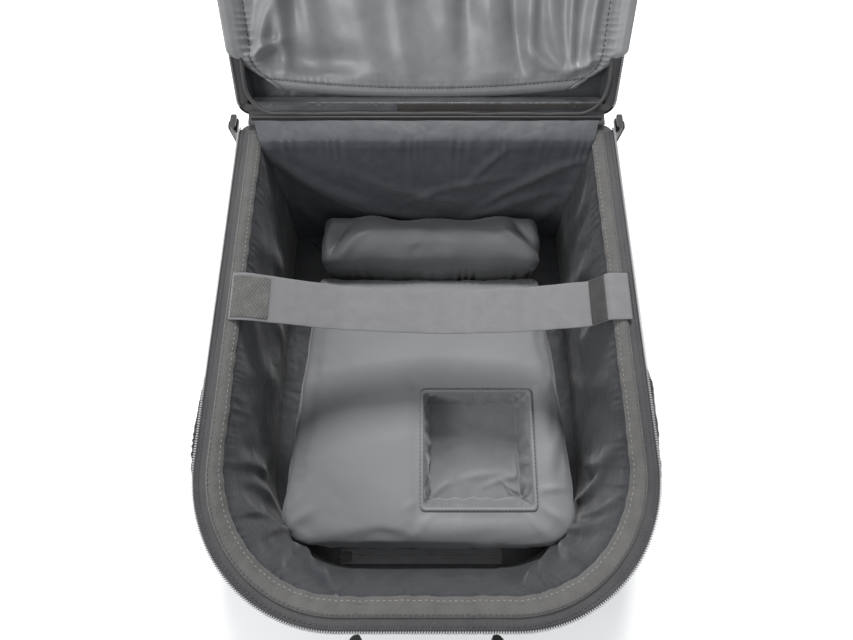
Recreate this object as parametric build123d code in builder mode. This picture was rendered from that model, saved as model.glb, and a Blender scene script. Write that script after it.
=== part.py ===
"""Padded carrying case for a drone: an open tray with a zipped, hinged lid.

Frame: millimetres, +Z up, +X to the right, +Y towards the hinge. The origin is the
middle of the flat bottom face. The lid stands open and the strap is fastened.
"""
from build123d import *
from math import cos, radians, sin
import os

# ---------------------------------------------------------------- driving dimensions
half_back = 165.0      # half width of the plan outline at the hinge
half_front = 171.0     # half width that the sides would reach at the front edge
half_len = 200.0       # half length of the plan outline
corner_front = 110.0   # large rounded front corners
corner_back = 12.0     # small corners beside the hinge
base_h = 155.0         # top of the padded walls
cover_t = 1.5          # outer fabric with its coating
foam_t = 16.5          # foam inside the walls
lining_t = 1.5         # satin lining
skin_gap = 0.2         # air between layers
floor_foam_t = 8.0
bottom_t = 2.0

tape_w = 9.0           # zipper tape on top of the wall
tape_t = 1.2
coil_r = 1.6
coil_inset = 1.2
loop_w = 12.0          # hook-and-loop band on the rim
loop_t = 2.5
piping_r = 2.3

hinge_y = half_len + 1.5
hinge_z = base_h + 5.8
lid_angle = 134.0      # opening angle of the lid as it stands
lid_h = 40.0           # depth of the lid
lid_wall_t = 6.3
lid_low = 1.0          # lowest edge of the lid above the hinge line
panel_w = 10.5         # how far the lid's inner panel stays inside the outline

pad_h = 45.6           # floor pad
pad_z = 14.4
pad_back = 95.0
pad_front = -157.0
pad_half_back = 112.0
pad_half_front = 134.0
pad_corner = 32.0
recess_x = 46.0        # middle of the square recess
recess_y = -73.0
recess_w = 98.0
recess_l = 102.0
recess_d = 38.0
recess_taper = 8.0
bolster_w = 214.0
bolster_l = 56.0
bolster_h = 72.0

strap_w = 39.0
strap_t = 1.4
strap_y = 37.5
strap_left = -154.0
strap_pivot_x = 157.5

pocket_front = -128.0
pocket_back = 12.0
pocket_bulge = 24.0
pocket_low = 22.0
pocket_h = 100.0
pocket_t = 2.0

handle_y = -half_len - 12.0
handle_z = 118.0
handle_dip = 35.0      # how far the handle droops below level
handle_half = 52.0
handle_out = 20.0

hook_strip_x = 62.0    # hook tape on the hinge side of the lid
hook_strip_y = 193.5
hook_strip_l = 176.0
hook_strip_w = 5.4
hook_strip_t = 1.1

# ---------------------------------------------------------------- derived
foam_in = cover_t + skin_gap
lining_in = foam_in + foam_t + skin_gap
inner_in = lining_in + lining_t
floor_z = bottom_t + floor_foam_t + lining_t
tape_z = base_h
coil_z = tape_z + tape_t + coil_r + 0.1
loop_in = tape_w + 0.3
loop_top = base_h + loop_t
front_split = -half_len + corner_front + 2
back_split = half_len - inner_in
side_lean = (half_front - half_back) / (2 * half_len)

os.makedirs("parts", exist_ok=True)


def outline(plane, inset=0.0):
    """Plan outline of the case on a plane, drawn in by inset all round."""
    top, low = half_len - inset, -half_len + inset
    wide_top, wide_low = half_back - inset, half_front - inset
    with BuildSketch(plane) as plan:
        with BuildLine():
            Polyline((-wide_top, top), (wide_top, top), (wide_low, low), (-wide_low, low), close=True)
        make_face()
        fillet(plan.sketch_local.vertices().sort_by(Axis.Y)[:2], corner_front - inset)
        fillet(plan.sketch_local.vertices().sort_by(Axis.Y)[-2:], max(corner_back - inset, 1.5))
    return plan.sketch


def plate(plane, inset, height):
    """Solid plate of the plan outline, standing on a plane."""
    extrude(outline(plane, inset), amount=height)


def band(plane, outer, inner, height):
    """Closed wall between two insets of the plan outline."""
    extrude(outline(plane, outer), amount=height)
    extrude(outline(plane, inner), amount=height, mode=Mode.SUBTRACT)


def keep_between(plane, low, high):
    """Keep what lies between two distances along the plane's own Y."""
    with Locations(plane * Location((0, (low + high) / 2, 0))):
        Box(900, high - low, 900, mode=Mode.INTERSECT)


def edge_tube(plane, inset, radius):
    """Round cord laid along the plan outline."""
    path = outline(plane, inset).face().outer_wire()
    with BuildSketch(Plane(origin=path.position_at(0), z_dir=path.tangent_at(0))) as section:
        Circle(radius)
    sweep(section.sketch, path=path)


def write(builder, node):
    """Label one finished piece and save it as its own STEP file."""
    builder.part.label = node
    export_step(builder.part, f"parts/{node}.step")


# ================================================================ base shell
with BuildPart() as bottom_panel:
    plate(Plane.XY, 0, bottom_t)
write(bottom_panel, "bottom_panel")

with BuildPart() as outer_cover:
    band(Plane.XY.offset(bottom_t), 0, cover_t, base_h - bottom_t)
write(outer_cover, "outer_cover")

with BuildPart() as bottom_piping:
    edge_tube(Plane.XY.offset(bottom_t + piping_r), -piping_r - 0.1, piping_r)
write(bottom_piping, "bottom_piping")

with BuildPart() as floor_foam:
    plate(Plane.XY.offset(bottom_t), lining_in, floor_foam_t)
write(floor_foam, "floor_foam")

with BuildPart() as floor_lining:
    plate(Plane.XY.offset(bottom_t + floor_foam_t), lining_in, lining_t)
write(floor_lining, "floor_lining")

# The foam of each side wall is a straight strip, its lining a skin on the inner face.
for side, sign in (("left", -1), ("right", 1)):
    with BuildPart() as wall_foam:
        band(Plane.XY.offset(bottom_t), foam_in, foam_in + foam_t, base_h - bottom_t)
        keep_between(Plane.XY, front_split, back_split)
        with Locations((sign * 200, 0, 0)):
            Box(400, 900, 900, mode=Mode.INTERSECT)
    write(wall_foam, f"{side}_wall_foam")

    with BuildPart() as wall_lining:
        band(Plane.XY.offset(floor_z), lining_in, inner_in, base_h - floor_z)
        keep_between(Plane.XY, front_split, back_split)
        with Locations((sign * 200, 0, 0)):
            Box(400, 900, 900, mode=Mode.INTERSECT)
    write(wall_lining, f"{side}_lining")

with BuildPart() as front_wall_foam:
    band(Plane.XY.offset(bottom_t), foam_in, foam_in + foam_t, base_h - bottom_t)
    keep_between(Plane.XY, -600, front_split)
write(front_wall_foam, "front_wall_foam")

with BuildPart() as front_lining:
    band(Plane.XY.offset(floor_z), lining_in, inner_in, base_h - floor_z)
    keep_between(Plane.XY, -600, front_split)
write(front_lining, "front_lining")

# The back wall has a foam wedge in front of it, thicker at the floor, and the lining
# runs down the slope of the wedge.
back_toe = 22.0
with BuildPart() as back_wall_foam:
    band(Plane.XY.offset(bottom_t), foam_in, foam_in + foam_t, base_h - bottom_t)
    keep_between(Plane.XY, back_split, 600)
write(back_wall_foam, "back_wall_foam")

with BuildPart() as back_wedge_foam:
    with BuildSketch(Plane.YZ):
        with BuildLine():
            Polyline(
                (back_split - 0.2, base_h - 2),
                (back_split - 0.2, floor_z + 0.2),
                (back_split - back_toe, floor_z + 0.2),
                close=True,
            )
        make_face()
    extrude(amount=half_back - inner_in - 3, both=True)
write(back_wedge_foam, "back_wedge_foam")

with BuildPart() as back_lining:
    with BuildSketch(Plane.YZ):
        with BuildLine():
            Polyline(
                (back_split - 0.4, base_h),
                (back_split - back_toe - 0.4, floor_z + 0.2),
                (back_split - back_toe - 0.4 - lining_t, floor_z + 0.2),
                (back_split - 0.4 - lining_t, base_h),
                close=True,
            )
        make_face()
    extrude(amount=half_back - inner_in - 1, both=True)
write(back_lining, "back_lining")

# ================================================================ rim of the base
zip_end = half_len - 8.0
tape_end = half_len - tape_w - 0.2
back_open = half_back - loop_in - loop_w   # half width of the rim between the loop bands
back_arm = loop_in + loop_w - (half_len - zip_end)
with BuildPart() as base_zipper_tape:
    band(Plane.XY.offset(tape_z), 0, tape_w, tape_t)
    keep_between(Plane.XY, -600, tape_end)
write(base_zipper_tape, "base_zipper_tape")

with BuildPart() as base_zipper_coil:
    edge_tube(Plane.XY.offset(coil_z), coil_inset, coil_r)
    keep_between(Plane.XY, -600, zip_end)
write(base_zipper_coil, "base_zipper_coil")

with BuildPart() as rim_loop_band:
    band(Plane.XY.offset(base_h), loop_in, loop_in + loop_w, loop_t)
    keep_between(Plane.XY, -600, tape_end)
    with Locations((0, half_len, base_h)):
        Box(2 * back_open, 2 * (loop_in + loop_w + 0.2), 4 * loop_t, mode=Mode.SUBTRACT)
write(rim_loop_band, "rim_loop_band")

with BuildPart() as back_rim_binding:
    band(Plane.XY.offset(base_h), 0, loop_in + loop_w, loop_t - 0.5)
    keep_between(Plane.XY, zip_end + 0.3, 600)
    with BuildSketch(Plane.XY.offset(base_h)):
        with Locations((0, zip_end + 0.3)):
            Rectangle(2 * back_open - 1, back_arm, align=(Align.CENTER, Align.MAX))
    extrude(amount=loop_t - 0.5)
write(back_rim_binding, "back_rim_binding")

with BuildPart() as hinge_bead:
    with BuildSketch(Plane(origin=(-half_back + corner_back, hinge_y, hinge_z), z_dir=(1, 0, 0))):
        Circle(1.2)
    extrude(amount=2 * (half_back - corner_back))
write(hinge_bead, "hinge_bead")

# ================================================================ zipper sliders and pulls
# Each slider is a small clip around the outer half of the coil, at the hinge end of the side.
# Its pull hangs from a lug on the outside, between two ears.
slider_len = 13.0
slider_w = 5.2
slider_gap = 0.6
slider_y = half_len - 2.0
slider_low = base_h - 2.0
slider_top = hinge_z + 0.4
lug_z = slider_low + 2.4
lug_r = 1.1
pull_w = 8.0
pull_len = 24.0
pull_t = 1.8
for side, sign in (("left", -1), ("right", 1)):
    wall_x = half_back + (half_len - slider_y) * side_lean
    along = Plane(origin=(sign * wall_x, slider_y, 0), x_dir=(sign, side_lean, 0), z_dir=(0, 0, 1))
    lug_x = slider_gap + slider_w + 2.1
    with BuildPart() as slider:
        with BuildSketch(along.offset(slider_low)):
            with Locations((slider_gap + slider_w / 2, 0)):
                RectangleRounded(slider_w, slider_len, 1.6)
        extrude(amount=slider_top - slider_low)
        with BuildSketch(along.offset(coil_z - coil_r - 0.5)):
            with Locations((slider_gap, 0)):
                Rectangle(4.4, slider_len + 2)
        extrude(amount=2 * coil_r + 1.0, mode=Mode.SUBTRACT)
        with BuildSketch(along.offset(lug_z - lug_r)):
            with Locations(((slider_gap + slider_w + lug_x + lug_r) / 2 - 0.1, 0)):
                Rectangle(lug_x + lug_r - slider_gap - slider_w, 3.2)
        extrude(amount=2 * lug_r)
    write(slider, f"slider_{side}")

    with BuildPart() as pull:
        with BuildSketch(Plane(origin=along.from_local_coords((lug_x - pull_t / 2, 0, lug_z)),
                               x_dir=along.y_dir, z_dir=along.x_dir)):
            with Locations((0, -pull_len / 2 + lug_r)):
                RectangleRounded(pull_w, pull_len, 2.0)
            with Locations((0, -0.3)):
                Rectangle(3.9, 3.8, mode=Mode.SUBTRACT)
        extrude(amount=pull_t)
    write(pull, f"pull_{side}")

# ================================================================ retaining strap
# Woven webbing, sewn down on the right, sagging across the tray and held on the left
# band by a patch of hook tape.
with BuildPart() as strap:
    with BuildSketch(Plane(origin=(0, strap_y + strap_w / 2, 0), x_dir=(1, 0, 0), z_dir=(0, -1, 0))):
        with BuildLine():
            low_line = loop_top + 0.3
            sag = FilletPolyline(
                (strap_left, low_line),
                (-143, low_line),
                (-72, low_line - 30),
                (10, low_line - 43),
                (84, low_line - 34),
                (134, low_line - 19),
                (144.5, low_line),
                (strap_pivot_x - 0.3, low_line),
                radius=(24, 130, 170, 90, 6, 5),
            )
            offset(sag, amount=strap_t, side=Side.LEFT, closed=True)
        make_face()
    extrude(amount=strap_w)
write(strap, "strap")

patch_len = 28.0
patch_t = 1.2
with BuildPart() as strap_hook_patch:
    with BuildSketch(Plane(origin=(0, strap_y + strap_w / 2, 0), x_dir=(1, 0, 0), z_dir=(0, -1, 0))):
        with BuildLine():
            offset(sag, amount=strap_t + patch_t, side=Side.LEFT, closed=True)
        make_face()
    extrude(amount=strap_w)
    add(strap.part, mode=Mode.SUBTRACT)
    with Locations((strap_left + patch_len / 2, strap_y, loop_top)):
        Box(patch_len, 2 * strap_w, 60, mode=Mode.INTERSECT)
write(strap_hook_patch, "strap_hook_patch")

# ================================================================ removable floor insert
insert_x = 2.0


def pad_plan(plane, inset=0.0):
    """Plan of the floor pad: narrower at the hinge end, with rounded corners."""
    with BuildSketch(plane) as plan:
        with BuildLine():
            Polyline(
                (insert_x - pad_half_back + inset, pad_back - inset),
                (insert_x + pad_half_back - inset, pad_back - inset),
                (insert_x + pad_half_front - inset, pad_front + inset),
                (insert_x - pad_half_front + inset, pad_front + inset),
                close=True,
            )
        make_face()
        fillet(plan.sketch_local.vertices().sort_by(Axis.Y)[:2], pad_corner - inset)
        fillet(plan.sketch_local.vertices().sort_by(Axis.Y)[-2:], 8.0 - inset)
    return plan.sketch


with BuildPart() as floor_board:
    extrude(pad_plan(Plane.XY.offset(floor_z + 0.2), 3.0), amount=2.5)
write(floor_board, "floor_board")

with BuildPart() as floor_pad:
    extrude(pad_plan(Plane.XY.offset(pad_z)), amount=pad_h)
    fillet(floor_pad.edges().group_by(Axis.Z)[-1], 9.0)
    fillet(floor_pad.edges().group_by(Axis.Z)[0], 4.0)
    with BuildSketch(Plane.XY.offset(pad_z + pad_h)):
        with Locations((recess_x, recess_y)):
            RectangleRounded(recess_w, recess_l, 4.0)
    extrude(amount=-recess_d, taper=recess_taper, mode=Mode.SUBTRACT)
write(floor_pad, "floor_pad")

with BuildPart() as recess_lining:
    with BuildSketch(Plane.XY.offset(pad_z + pad_h)):
        with Locations((recess_x, recess_y)):
            RectangleRounded(recess_w - 0.6, recess_l - 0.6, 3.7)
    extrude(amount=-recess_d + 0.3, taper=recess_taper)
    with BuildSketch(Plane.XY.offset(pad_z + pad_h)):
        with Locations((recess_x, recess_y)):
            RectangleRounded(recess_w - 3.0, recess_l - 3.0, 2.5)
    extrude(amount=-recess_d + 1.5, taper=recess_taper, mode=Mode.SUBTRACT)
write(recess_lining, "recess_lining")

with BuildPart() as bolster:
    with BuildSketch(Plane.XY.offset(pad_z)):
        with Locations((insert_x + 2, pad_back + 1.5 + bolster_l / 2)):
            RectangleRounded(bolster_w, bolster_l, 9.0)
    extrude(amount=bolster_h)
    fillet(bolster.edges().group_by(Axis.Z)[-1], 16.0)
write(bolster, "bolster")

# ================================================================ small floor zipper
floor_zip_x = -5.0
floor_zip_y = -168.5
floor_zip_l = 150.0
floor_zip_z = floor_z + 0.2
with BuildPart() as floor_zipper_tape:
    with BuildSketch(Plane.XY.offset(floor_zip_z)):
        with Locations((floor_zip_x, floor_zip_y)):
            Rectangle(floor_zip_l, 13.0)
    extrude(amount=0.7)
write(floor_zipper_tape, "floor_zipper_tape")

with BuildPart() as floor_zipper_coil:
    start = floor_zip_x - floor_zip_l / 2
    with BuildSketch(Plane(origin=(start, floor_zip_y, floor_zip_z + 2.1), z_dir=(1, 0, 0))):
        Circle(1.3)
    extrude(amount=floor_zip_l)
write(floor_zipper_coil, "floor_zipper_coil")

with BuildPart() as floor_zipper_slider:
    with BuildSketch(Plane.XY.offset(floor_zip_z + 1.0)):
        with Locations((floor_zip_x - floor_zip_l / 2 + 6, floor_zip_y)):
            RectangleRounded(9.0, 8.0, 2.0)
    extrude(amount=4.2)
    with BuildSketch(Plane.XY.offset(floor_zip_z + 1.0)):
        with Locations((floor_zip_x - floor_zip_l / 2 + 6, floor_zip_y)):
            Rectangle(12.0, 3.4)
    extrude(amount=2.9, mode=Mode.SUBTRACT)
write(floor_zipper_slider, "floor_zipper_slider")

# ================================================================ side pockets
pocket_mid = (pocket_front + pocket_back) / 2


def pocket_plan(plane, sign, inset=0.0):
    """Bowed plan of a side pocket, reaching inside the case outline, drawn in by inset."""
    far = half_front - 2 + pocket_bulge - inset
    with BuildSketch(plane) as plan:
        with BuildLine():
            ThreePointArc(
                (sign * (half_back + 1), pocket_back - inset),
                (sign * far, pocket_mid),
                (sign * (half_back - 5), pocket_front + inset),
            )
            Polyline(
                (sign * (half_back - 5), pocket_front + inset),
                (sign * (half_back - 30), pocket_mid),
                (sign * (half_back + 1), pocket_back - inset),
            )
        make_face()
    return plan.sketch


for side, sign in (("left", -1), ("right", 1)):
    with BuildPart() as side_pocket:
        extrude(pocket_plan(Plane.XY.offset(pocket_low), sign), amount=pocket_h)
        extrude(pocket_plan(Plane.XY.offset(pocket_low + pocket_t), sign, pocket_t), amount=pocket_h,
                mode=Mode.SUBTRACT)
        extrude(outline(Plane.XY, -0.3), amount=base_h, mode=Mode.SUBTRACT)
    write(side_pocket, f"side_pocket_{side}")

    with BuildPart() as pocket_binding:
        rim = Plane.XY.offset(pocket_low + pocket_h + 0.1)
        extrude(pocket_plan(rim, sign), amount=5.0)
        extrude(pocket_plan(rim, sign, 2 * pocket_t), amount=5.0, mode=Mode.SUBTRACT)
        extrude(outline(Plane.XY, -0.3), amount=base_h, mode=Mode.SUBTRACT)
    write(pocket_binding, f"pocket_binding_{side}")

# ================================================================ carrying handle
tab_w = 24.0
tab_h = 46.0
with BuildPart() as handle_tabs:
    with BuildSketch(Plane(origin=(0, -half_len - 0.2, handle_z), x_dir=(1, 0, 0), z_dir=(0, -1, 0))):
        with GridLocations(2 * handle_half, 1, 2, 1):
            RectangleRounded(tab_w, tab_h, 3.0)
    extrude(amount=1.8)
    with BuildSketch(Plane(origin=(0, -half_len - 1.9, handle_z), x_dir=(1, 0, 0), z_dir=(0, -1, 0))):
        with GridLocations(2 * handle_half, 1, 2, 1):
            RectangleRounded(13.0, 16.0, 2.0)
    extrude(amount=4.4)
write(handle_tabs, "handle_tabs")

swing = Plane(
    origin=(0, handle_y, handle_z),
    x_dir=(1, 0, 0),
    z_dir=(0, sin(radians(handle_dip)), -cos(radians(handle_dip))),
)
with BuildPart() as carry_handle:
    with BuildLine(swing) as loop_line:
        FilletPolyline((-handle_half, 0), (-45, handle_out), (45, handle_out), (handle_half, 0), radius=9)
    with BuildSketch(Plane(origin=loop_line.line @ 0, z_dir=loop_line.line % 0)):
        Circle(4.5)
    sweep()
write(carry_handle, "carry_handle")

grip_len = 70.0
with BuildPart() as handle_grip:
    with BuildSketch(Plane(origin=swing.from_local_coords((-grip_len / 2, handle_out, 0)), z_dir=(1, 0, 0))):
        Circle(9.5)
        Circle(4.7, mode=Mode.SUBTRACT)
    extrude(amount=grip_len)
write(handle_grip, "handle_grip")

# ================================================================ lid
# The lid is drawn in its own plane: distances along Z run from the hinge line outwards.


def lid_at(height):
    """Plane of the lid, with the case outline's own X and Y, at a height above the hinge line."""
    lean = radians(lid_angle)
    hinge = Plane(origin=(0, hinge_y, hinge_z), x_dir=(1, 0, 0), z_dir=(0, sin(lean), cos(lean)))
    return Plane(origin=hinge.from_local_coords((0, -hinge_y, height)), x_dir=(1, 0, 0), z_dir=hinge.z_dir)


wall_low = lid_low + 2 * coil_r + tape_t
top_z = lid_h - bottom_t
board_z = top_z - 8.0 - 2.6
lid_in = cover_t + skin_gap
lid_lining_in = lid_in + lid_wall_t + skin_gap

with BuildPart() as lid_zipper_coil:
    edge_tube(lid_at(lid_low + coil_r), coil_inset, coil_r)
    keep_between(lid_at(0), -600, zip_end)
write(lid_zipper_coil, "lid_zipper_coil")

with BuildPart() as lid_zipper_tape:
    band(lid_at(lid_low + 2 * coil_r + 0.1), 0, tape_w, tape_t - 0.2)
    keep_between(lid_at(0), -600, tape_end)
write(lid_zipper_tape, "lid_zipper_tape")

with BuildPart() as lid_gusset:
    band(lid_at(wall_low), 0, cover_t, top_z - wall_low)
write(lid_gusset, "lid_gusset")

with BuildPart() as lid_wall_foam:
    band(lid_at(wall_low), lid_in, lid_in + lid_wall_t, top_z - 8.0 - wall_low)
write(lid_wall_foam, "lid_wall_foam")

with BuildPart() as lid_top_foam:
    plate(lid_at(top_z - 7.8), lid_in, 7.6)
write(lid_top_foam, "lid_top_foam")

with BuildPart() as lid_top_cover:
    plate(lid_at(top_z), 0, bottom_t)
write(lid_top_cover, "lid_top_cover")

with BuildPart() as lid_board:
    plate(lid_at(board_z), lid_lining_in, 2.4)
write(lid_board, "lid_board")

with BuildPart() as lid_lining:
    plate(lid_at(wall_low), lid_lining_in, board_z - 0.2 - wall_low)
    extrude(outline(lid_at(wall_low), lid_lining_in + lining_t), amount=board_z - 0.2 - lining_t - wall_low,
            mode=Mode.SUBTRACT)
write(lid_lining, "lid_lining")

panel_low = 15.0
panel_mouth = -150.0
panel_top = board_z - 0.4 - lining_t
with BuildPart() as lid_pocket_panel:
    plate(lid_at(panel_low), panel_w, panel_top - panel_low)
    extrude(outline(lid_at(panel_low + 2.0), panel_w + lining_t), amount=panel_top, mode=Mode.SUBTRACT)
    keep_between(lid_at(0), panel_mouth, 600)
write(lid_pocket_panel, "lid_pocket_panel")

with BuildPart() as lid_binding:
    band(lid_at(wall_low), lid_lining_in + lining_t + 0.2, lid_lining_in + lining_t + 2.4, 4.0)
write(lid_binding, "lid_binding")

with BuildPart() as lid_hook_strip:
    with BuildSketch(lid_at(wall_low - hook_strip_t - skin_gap)):
        with Locations((hook_strip_x, hook_strip_y)):
            Rectangle(hook_strip_l, hook_strip_w)
    extrude(amount=hook_strip_t)
write(lid_hook_strip, "lid_hook_strip")

with BuildPart() as lid_piping:
    edge_tube(lid_at(lid_h - piping_r - 0.2), -piping_r - 0.1, piping_r)
write(lid_piping, "lid_piping")
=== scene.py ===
"""An open drone case lying flat, its lid thrown back: fabric, padding, zippers and webbing."""
import bmesh
import bpy
import math
import numpy as np
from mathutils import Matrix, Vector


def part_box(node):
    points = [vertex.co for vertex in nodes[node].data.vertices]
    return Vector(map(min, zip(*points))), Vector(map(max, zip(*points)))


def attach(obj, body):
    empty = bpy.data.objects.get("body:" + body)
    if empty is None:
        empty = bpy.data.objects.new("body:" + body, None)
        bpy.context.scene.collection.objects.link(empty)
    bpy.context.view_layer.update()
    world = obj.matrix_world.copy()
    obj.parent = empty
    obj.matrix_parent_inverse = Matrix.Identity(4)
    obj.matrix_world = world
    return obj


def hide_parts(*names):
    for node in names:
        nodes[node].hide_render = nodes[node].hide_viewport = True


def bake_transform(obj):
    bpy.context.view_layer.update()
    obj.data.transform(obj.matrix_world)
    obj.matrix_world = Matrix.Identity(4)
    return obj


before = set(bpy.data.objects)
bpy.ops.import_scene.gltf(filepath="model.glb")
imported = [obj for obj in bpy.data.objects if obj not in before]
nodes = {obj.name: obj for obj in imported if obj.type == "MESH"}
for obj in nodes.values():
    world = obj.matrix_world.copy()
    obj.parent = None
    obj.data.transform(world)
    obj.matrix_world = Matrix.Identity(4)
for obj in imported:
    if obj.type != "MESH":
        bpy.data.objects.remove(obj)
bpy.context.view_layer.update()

# ---------------------------------------------------------------- floor, light and camera
# A pale sweep of floor under a bright even sky. One broad lamp stands beyond the lid, so that
# the strap throws a soft shadow on the pad, and a weaker one fills in from the near side.
floor_half = 6.0
floor_mesh = bpy.data.meshes.new("studio_floor")
floor_mesh.from_pydata(
    [(-floor_half, -floor_half, 0), (floor_half, -floor_half, 0), (floor_half, floor_half, 0),
     (-floor_half, floor_half, 0)], [], [(0, 1, 2, 3)])
studio_floor = bpy.data.objects.new("studio_floor", floor_mesh)
bpy.context.scene.collection.objects.link(studio_floor)

floor_paint = bpy.data.materials.new("pale_floor")
floor_paint.use_nodes = True
floor_paint.node_tree.nodes["Principled BSDF"].inputs["Base Color"].default_value = (0.93, 0.93, 0.93, 1)
floor_paint.node_tree.nodes["Principled BSDF"].inputs["Roughness"].default_value = 0.9
floor_mesh.materials.append(floor_paint)

sky = bpy.data.worlds.new("studio_sky")
sky.use_nodes = True
sky.node_tree.nodes["Background"].inputs["Color"].default_value = (0.96, 0.98, 1.0, 1)
sky.node_tree.nodes["Background"].inputs["Strength"].default_value = 0.60
bpy.context.scene.world = sky
bpy.context.scene.view_settings.view_transform = "Standard"


def lamp(name, place, aim, size, power, tint=(1.0, 1.0, 1.0)):
    """Square soft lamp at a place, turned to shine at a point."""
    light = bpy.data.lights.new(name, "AREA")
    light.size = size
    light.energy = power
    light.color = tint
    holder = bpy.data.objects.new(name, light)
    bpy.context.scene.collection.objects.link(holder)
    ray = Vector(aim) - Vector(place)
    holder.location = place
    holder.rotation_euler = ray.to_track_quat("-Z", "Y").to_euler()


lamp("key", (0.02, 1.52, 1.58), (0.0, 0.0, 0.1), 0.50, 60.0)
lamp("fill", (-1.5, -0.9, 1.45), (0.0, 0.0, 0.1), 1.2, 30.0)

rim_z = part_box("base_zipper_coil")[1].z
camera_rise = 0.400
camera_back = 0.105
camera_tilt = 17.0
camera_data = bpy.data.cameras.new("camera")
camera_data.lens = 22.8
camera_data.sensor_width = 36.0
camera = bpy.data.objects.new("camera", camera_data)
camera.location = (0.0, -camera_back, rim_z + camera_rise)
camera.rotation_euler = (math.radians(camera_tilt), 0, 0)
bpy.context.scene.collection.objects.link(camera)
bpy.context.scene.camera = camera

# ---------------------------------------------------------------- outer side band
# Coated nylon sewn round the foam walls from the underside to the zipper. It is a little
# fuller than the foam, so it bows out and ripples between its two seams.
cover_low, cover_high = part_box("outer_cover")
case_length = cover_high.y - cover_low.y
half_length = case_length / 2
half_back = 0.165
half_front = 0.171
front_radius = 0.110
back_radius = 0.012
wall_top = cover_high.z
wall_bottom = cover_low.z
side_lean = math.atan((half_front - half_back) / case_length)

front_flat = half_front - front_radius * (1 + math.sin(side_lean)) / math.cos(side_lean)
back_flat = half_back - back_radius * (1 - math.sin(side_lean)) / math.cos(side_lean)
front_arc = front_radius * (math.pi / 2 + side_lean)
back_arc = back_radius * (math.pi / 2 - side_lean)
side_straight = math.hypot(
    case_length - front_radius * (1 + math.sin(side_lean)) - back_radius * (1 - math.sin(side_lean)),
    front_flat + front_radius * math.cos(side_lean) - back_flat - back_radius * math.cos(side_lean))
half_edge = front_flat + front_arc + side_straight + back_arc + back_flat
hinge_corner = front_flat + front_arc + side_straight


def case_edge(run):
    """Place and outward normal on the plan outline at a distance run from the front middle.

    The outline is a flat front, a large arc, a straight side leaning in by side_lean, a small
    arc and a flat back. Positive runs go round the right side, negative ones round the left.
    """
    run = np.asarray(run, float)
    far = np.abs(run)
    turn = np.clip((far - front_flat) / front_radius, 0, front_arc / front_radius)
    back_turn = np.clip((far - hinge_corner) / back_radius, 0, back_arc / back_radius)
    angle = -math.pi / 2 + turn + back_turn
    normal = np.stack([np.cos(angle), np.sin(angle)], -1)
    x = np.minimum(far, front_flat) + front_radius * np.cos(-math.pi / 2 + turn)
    y = -half_length + front_radius + front_radius * np.sin(-math.pi / 2 + turn)
    side = np.clip(far - front_flat - front_arc, 0, side_straight)
    x = x - side * math.sin(side_lean)
    y = y + side * math.cos(side_lean)
    start = side_lean
    x = x + back_radius * (np.cos(start + back_turn) - np.cos(start))
    y = y + back_radius * (np.sin(start + back_turn) - np.sin(start))
    x = x - np.clip(far - hinge_corner - back_arc, 0, None)
    sign = np.where(run < 0, -1.0, 1.0)
    place = np.stack([x * sign, y], -1)
    normal[..., 0] *= sign
    return place, normal


def carried(run, inset, height):
    """Surface points: inset inwards from the outline at each run, and at each height."""
    place, normal = case_edge(run)
    inset, height = np.broadcast_arrays(inset, height)
    points = np.zeros(inset.shape + (3,))
    points[..., :2] = place[:, None, :] - inset[..., None] * normal[:, None, :]
    points[..., 2] = height
    return points


def sheet_mesh(name, points, material, around=False, tube=False, inward=False, closed_end=False,
               capped=False):
    """Object from a grid of points, with a UV map in metres along both ways of the grid.

    around joins the last row to the first, tube joins the last column to the first. closed_end
    closes the last column with a fan, capped closes a tube's two end rows with one face each.
    """
    rows, cols = points.shape[:2]
    grid = points
    if around:
        grid = np.concatenate([grid, grid[:1]], 0)
    if tube:
        grid = np.concatenate([grid, grid[:, :1]], 1)
    step_u = np.linalg.norm(np.diff(grid, axis=0), axis=-1).mean(1)
    step_v = np.linalg.norm(np.diff(grid, axis=1), axis=-1).mean(0)
    u = np.concatenate([[0], np.cumsum(step_u)])
    v = np.concatenate([[0], np.cumsum(step_v)])
    i, j = np.meshgrid(np.arange(grid.shape[0] - 1), np.arange(grid.shape[1] - 1), indexing="ij")
    i, j = i.ravel(), j.ravel()
    corners = [(i, j), (i + 1, j), (i + 1, j + 1), (i, j + 1)]
    if inward:
        corners = corners[::-1]
    index = np.stack([(a % rows) * cols + (b % cols) for a, b in corners], 1)
    places = points.reshape(-1, 3).tolist()
    faces = index.tolist()
    uv = np.stack([np.stack([u[a], v[b]], -1) for a, b in corners], 1).reshape(-1, 2).tolist()
    order = -1 if inward else 1
    if closed_end:
        places.append(points[:, -1].mean(0).tolist())
        for row in range(rows):
            fan = [(row * cols + cols - 1), ((row + 1) % rows) * cols + cols - 1, len(places) - 1]
            faces.append(fan[::order])
            uv += [(u[row], v[-1]), (u[row + 1], v[-1]), (u[row], v[-1])][::order]
    if capped:
        for end, turn in ((0, 1), (rows - 1, -1)):
            faces.append([end * cols + col for col in range(cols)][::turn * order])
            uv += [(points[end, col, 0], points[end, col, 1]) for col in range(cols)][::turn * order]
    mesh = bpy.data.meshes.new(name)
    mesh.from_pydata(places, [], faces)
    mesh.uv_layers.new(name="UVMap").data.foreach_set("uv", np.array(uv).ravel())
    mesh.polygons.foreach_set("use_smooth", np.ones(len(mesh.polygons), bool))
    mesh.materials.append(material)
    piece = bpy.data.objects.new(name, mesh)
    bpy.context.scene.collection.objects.link(piece)
    return piece


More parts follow.
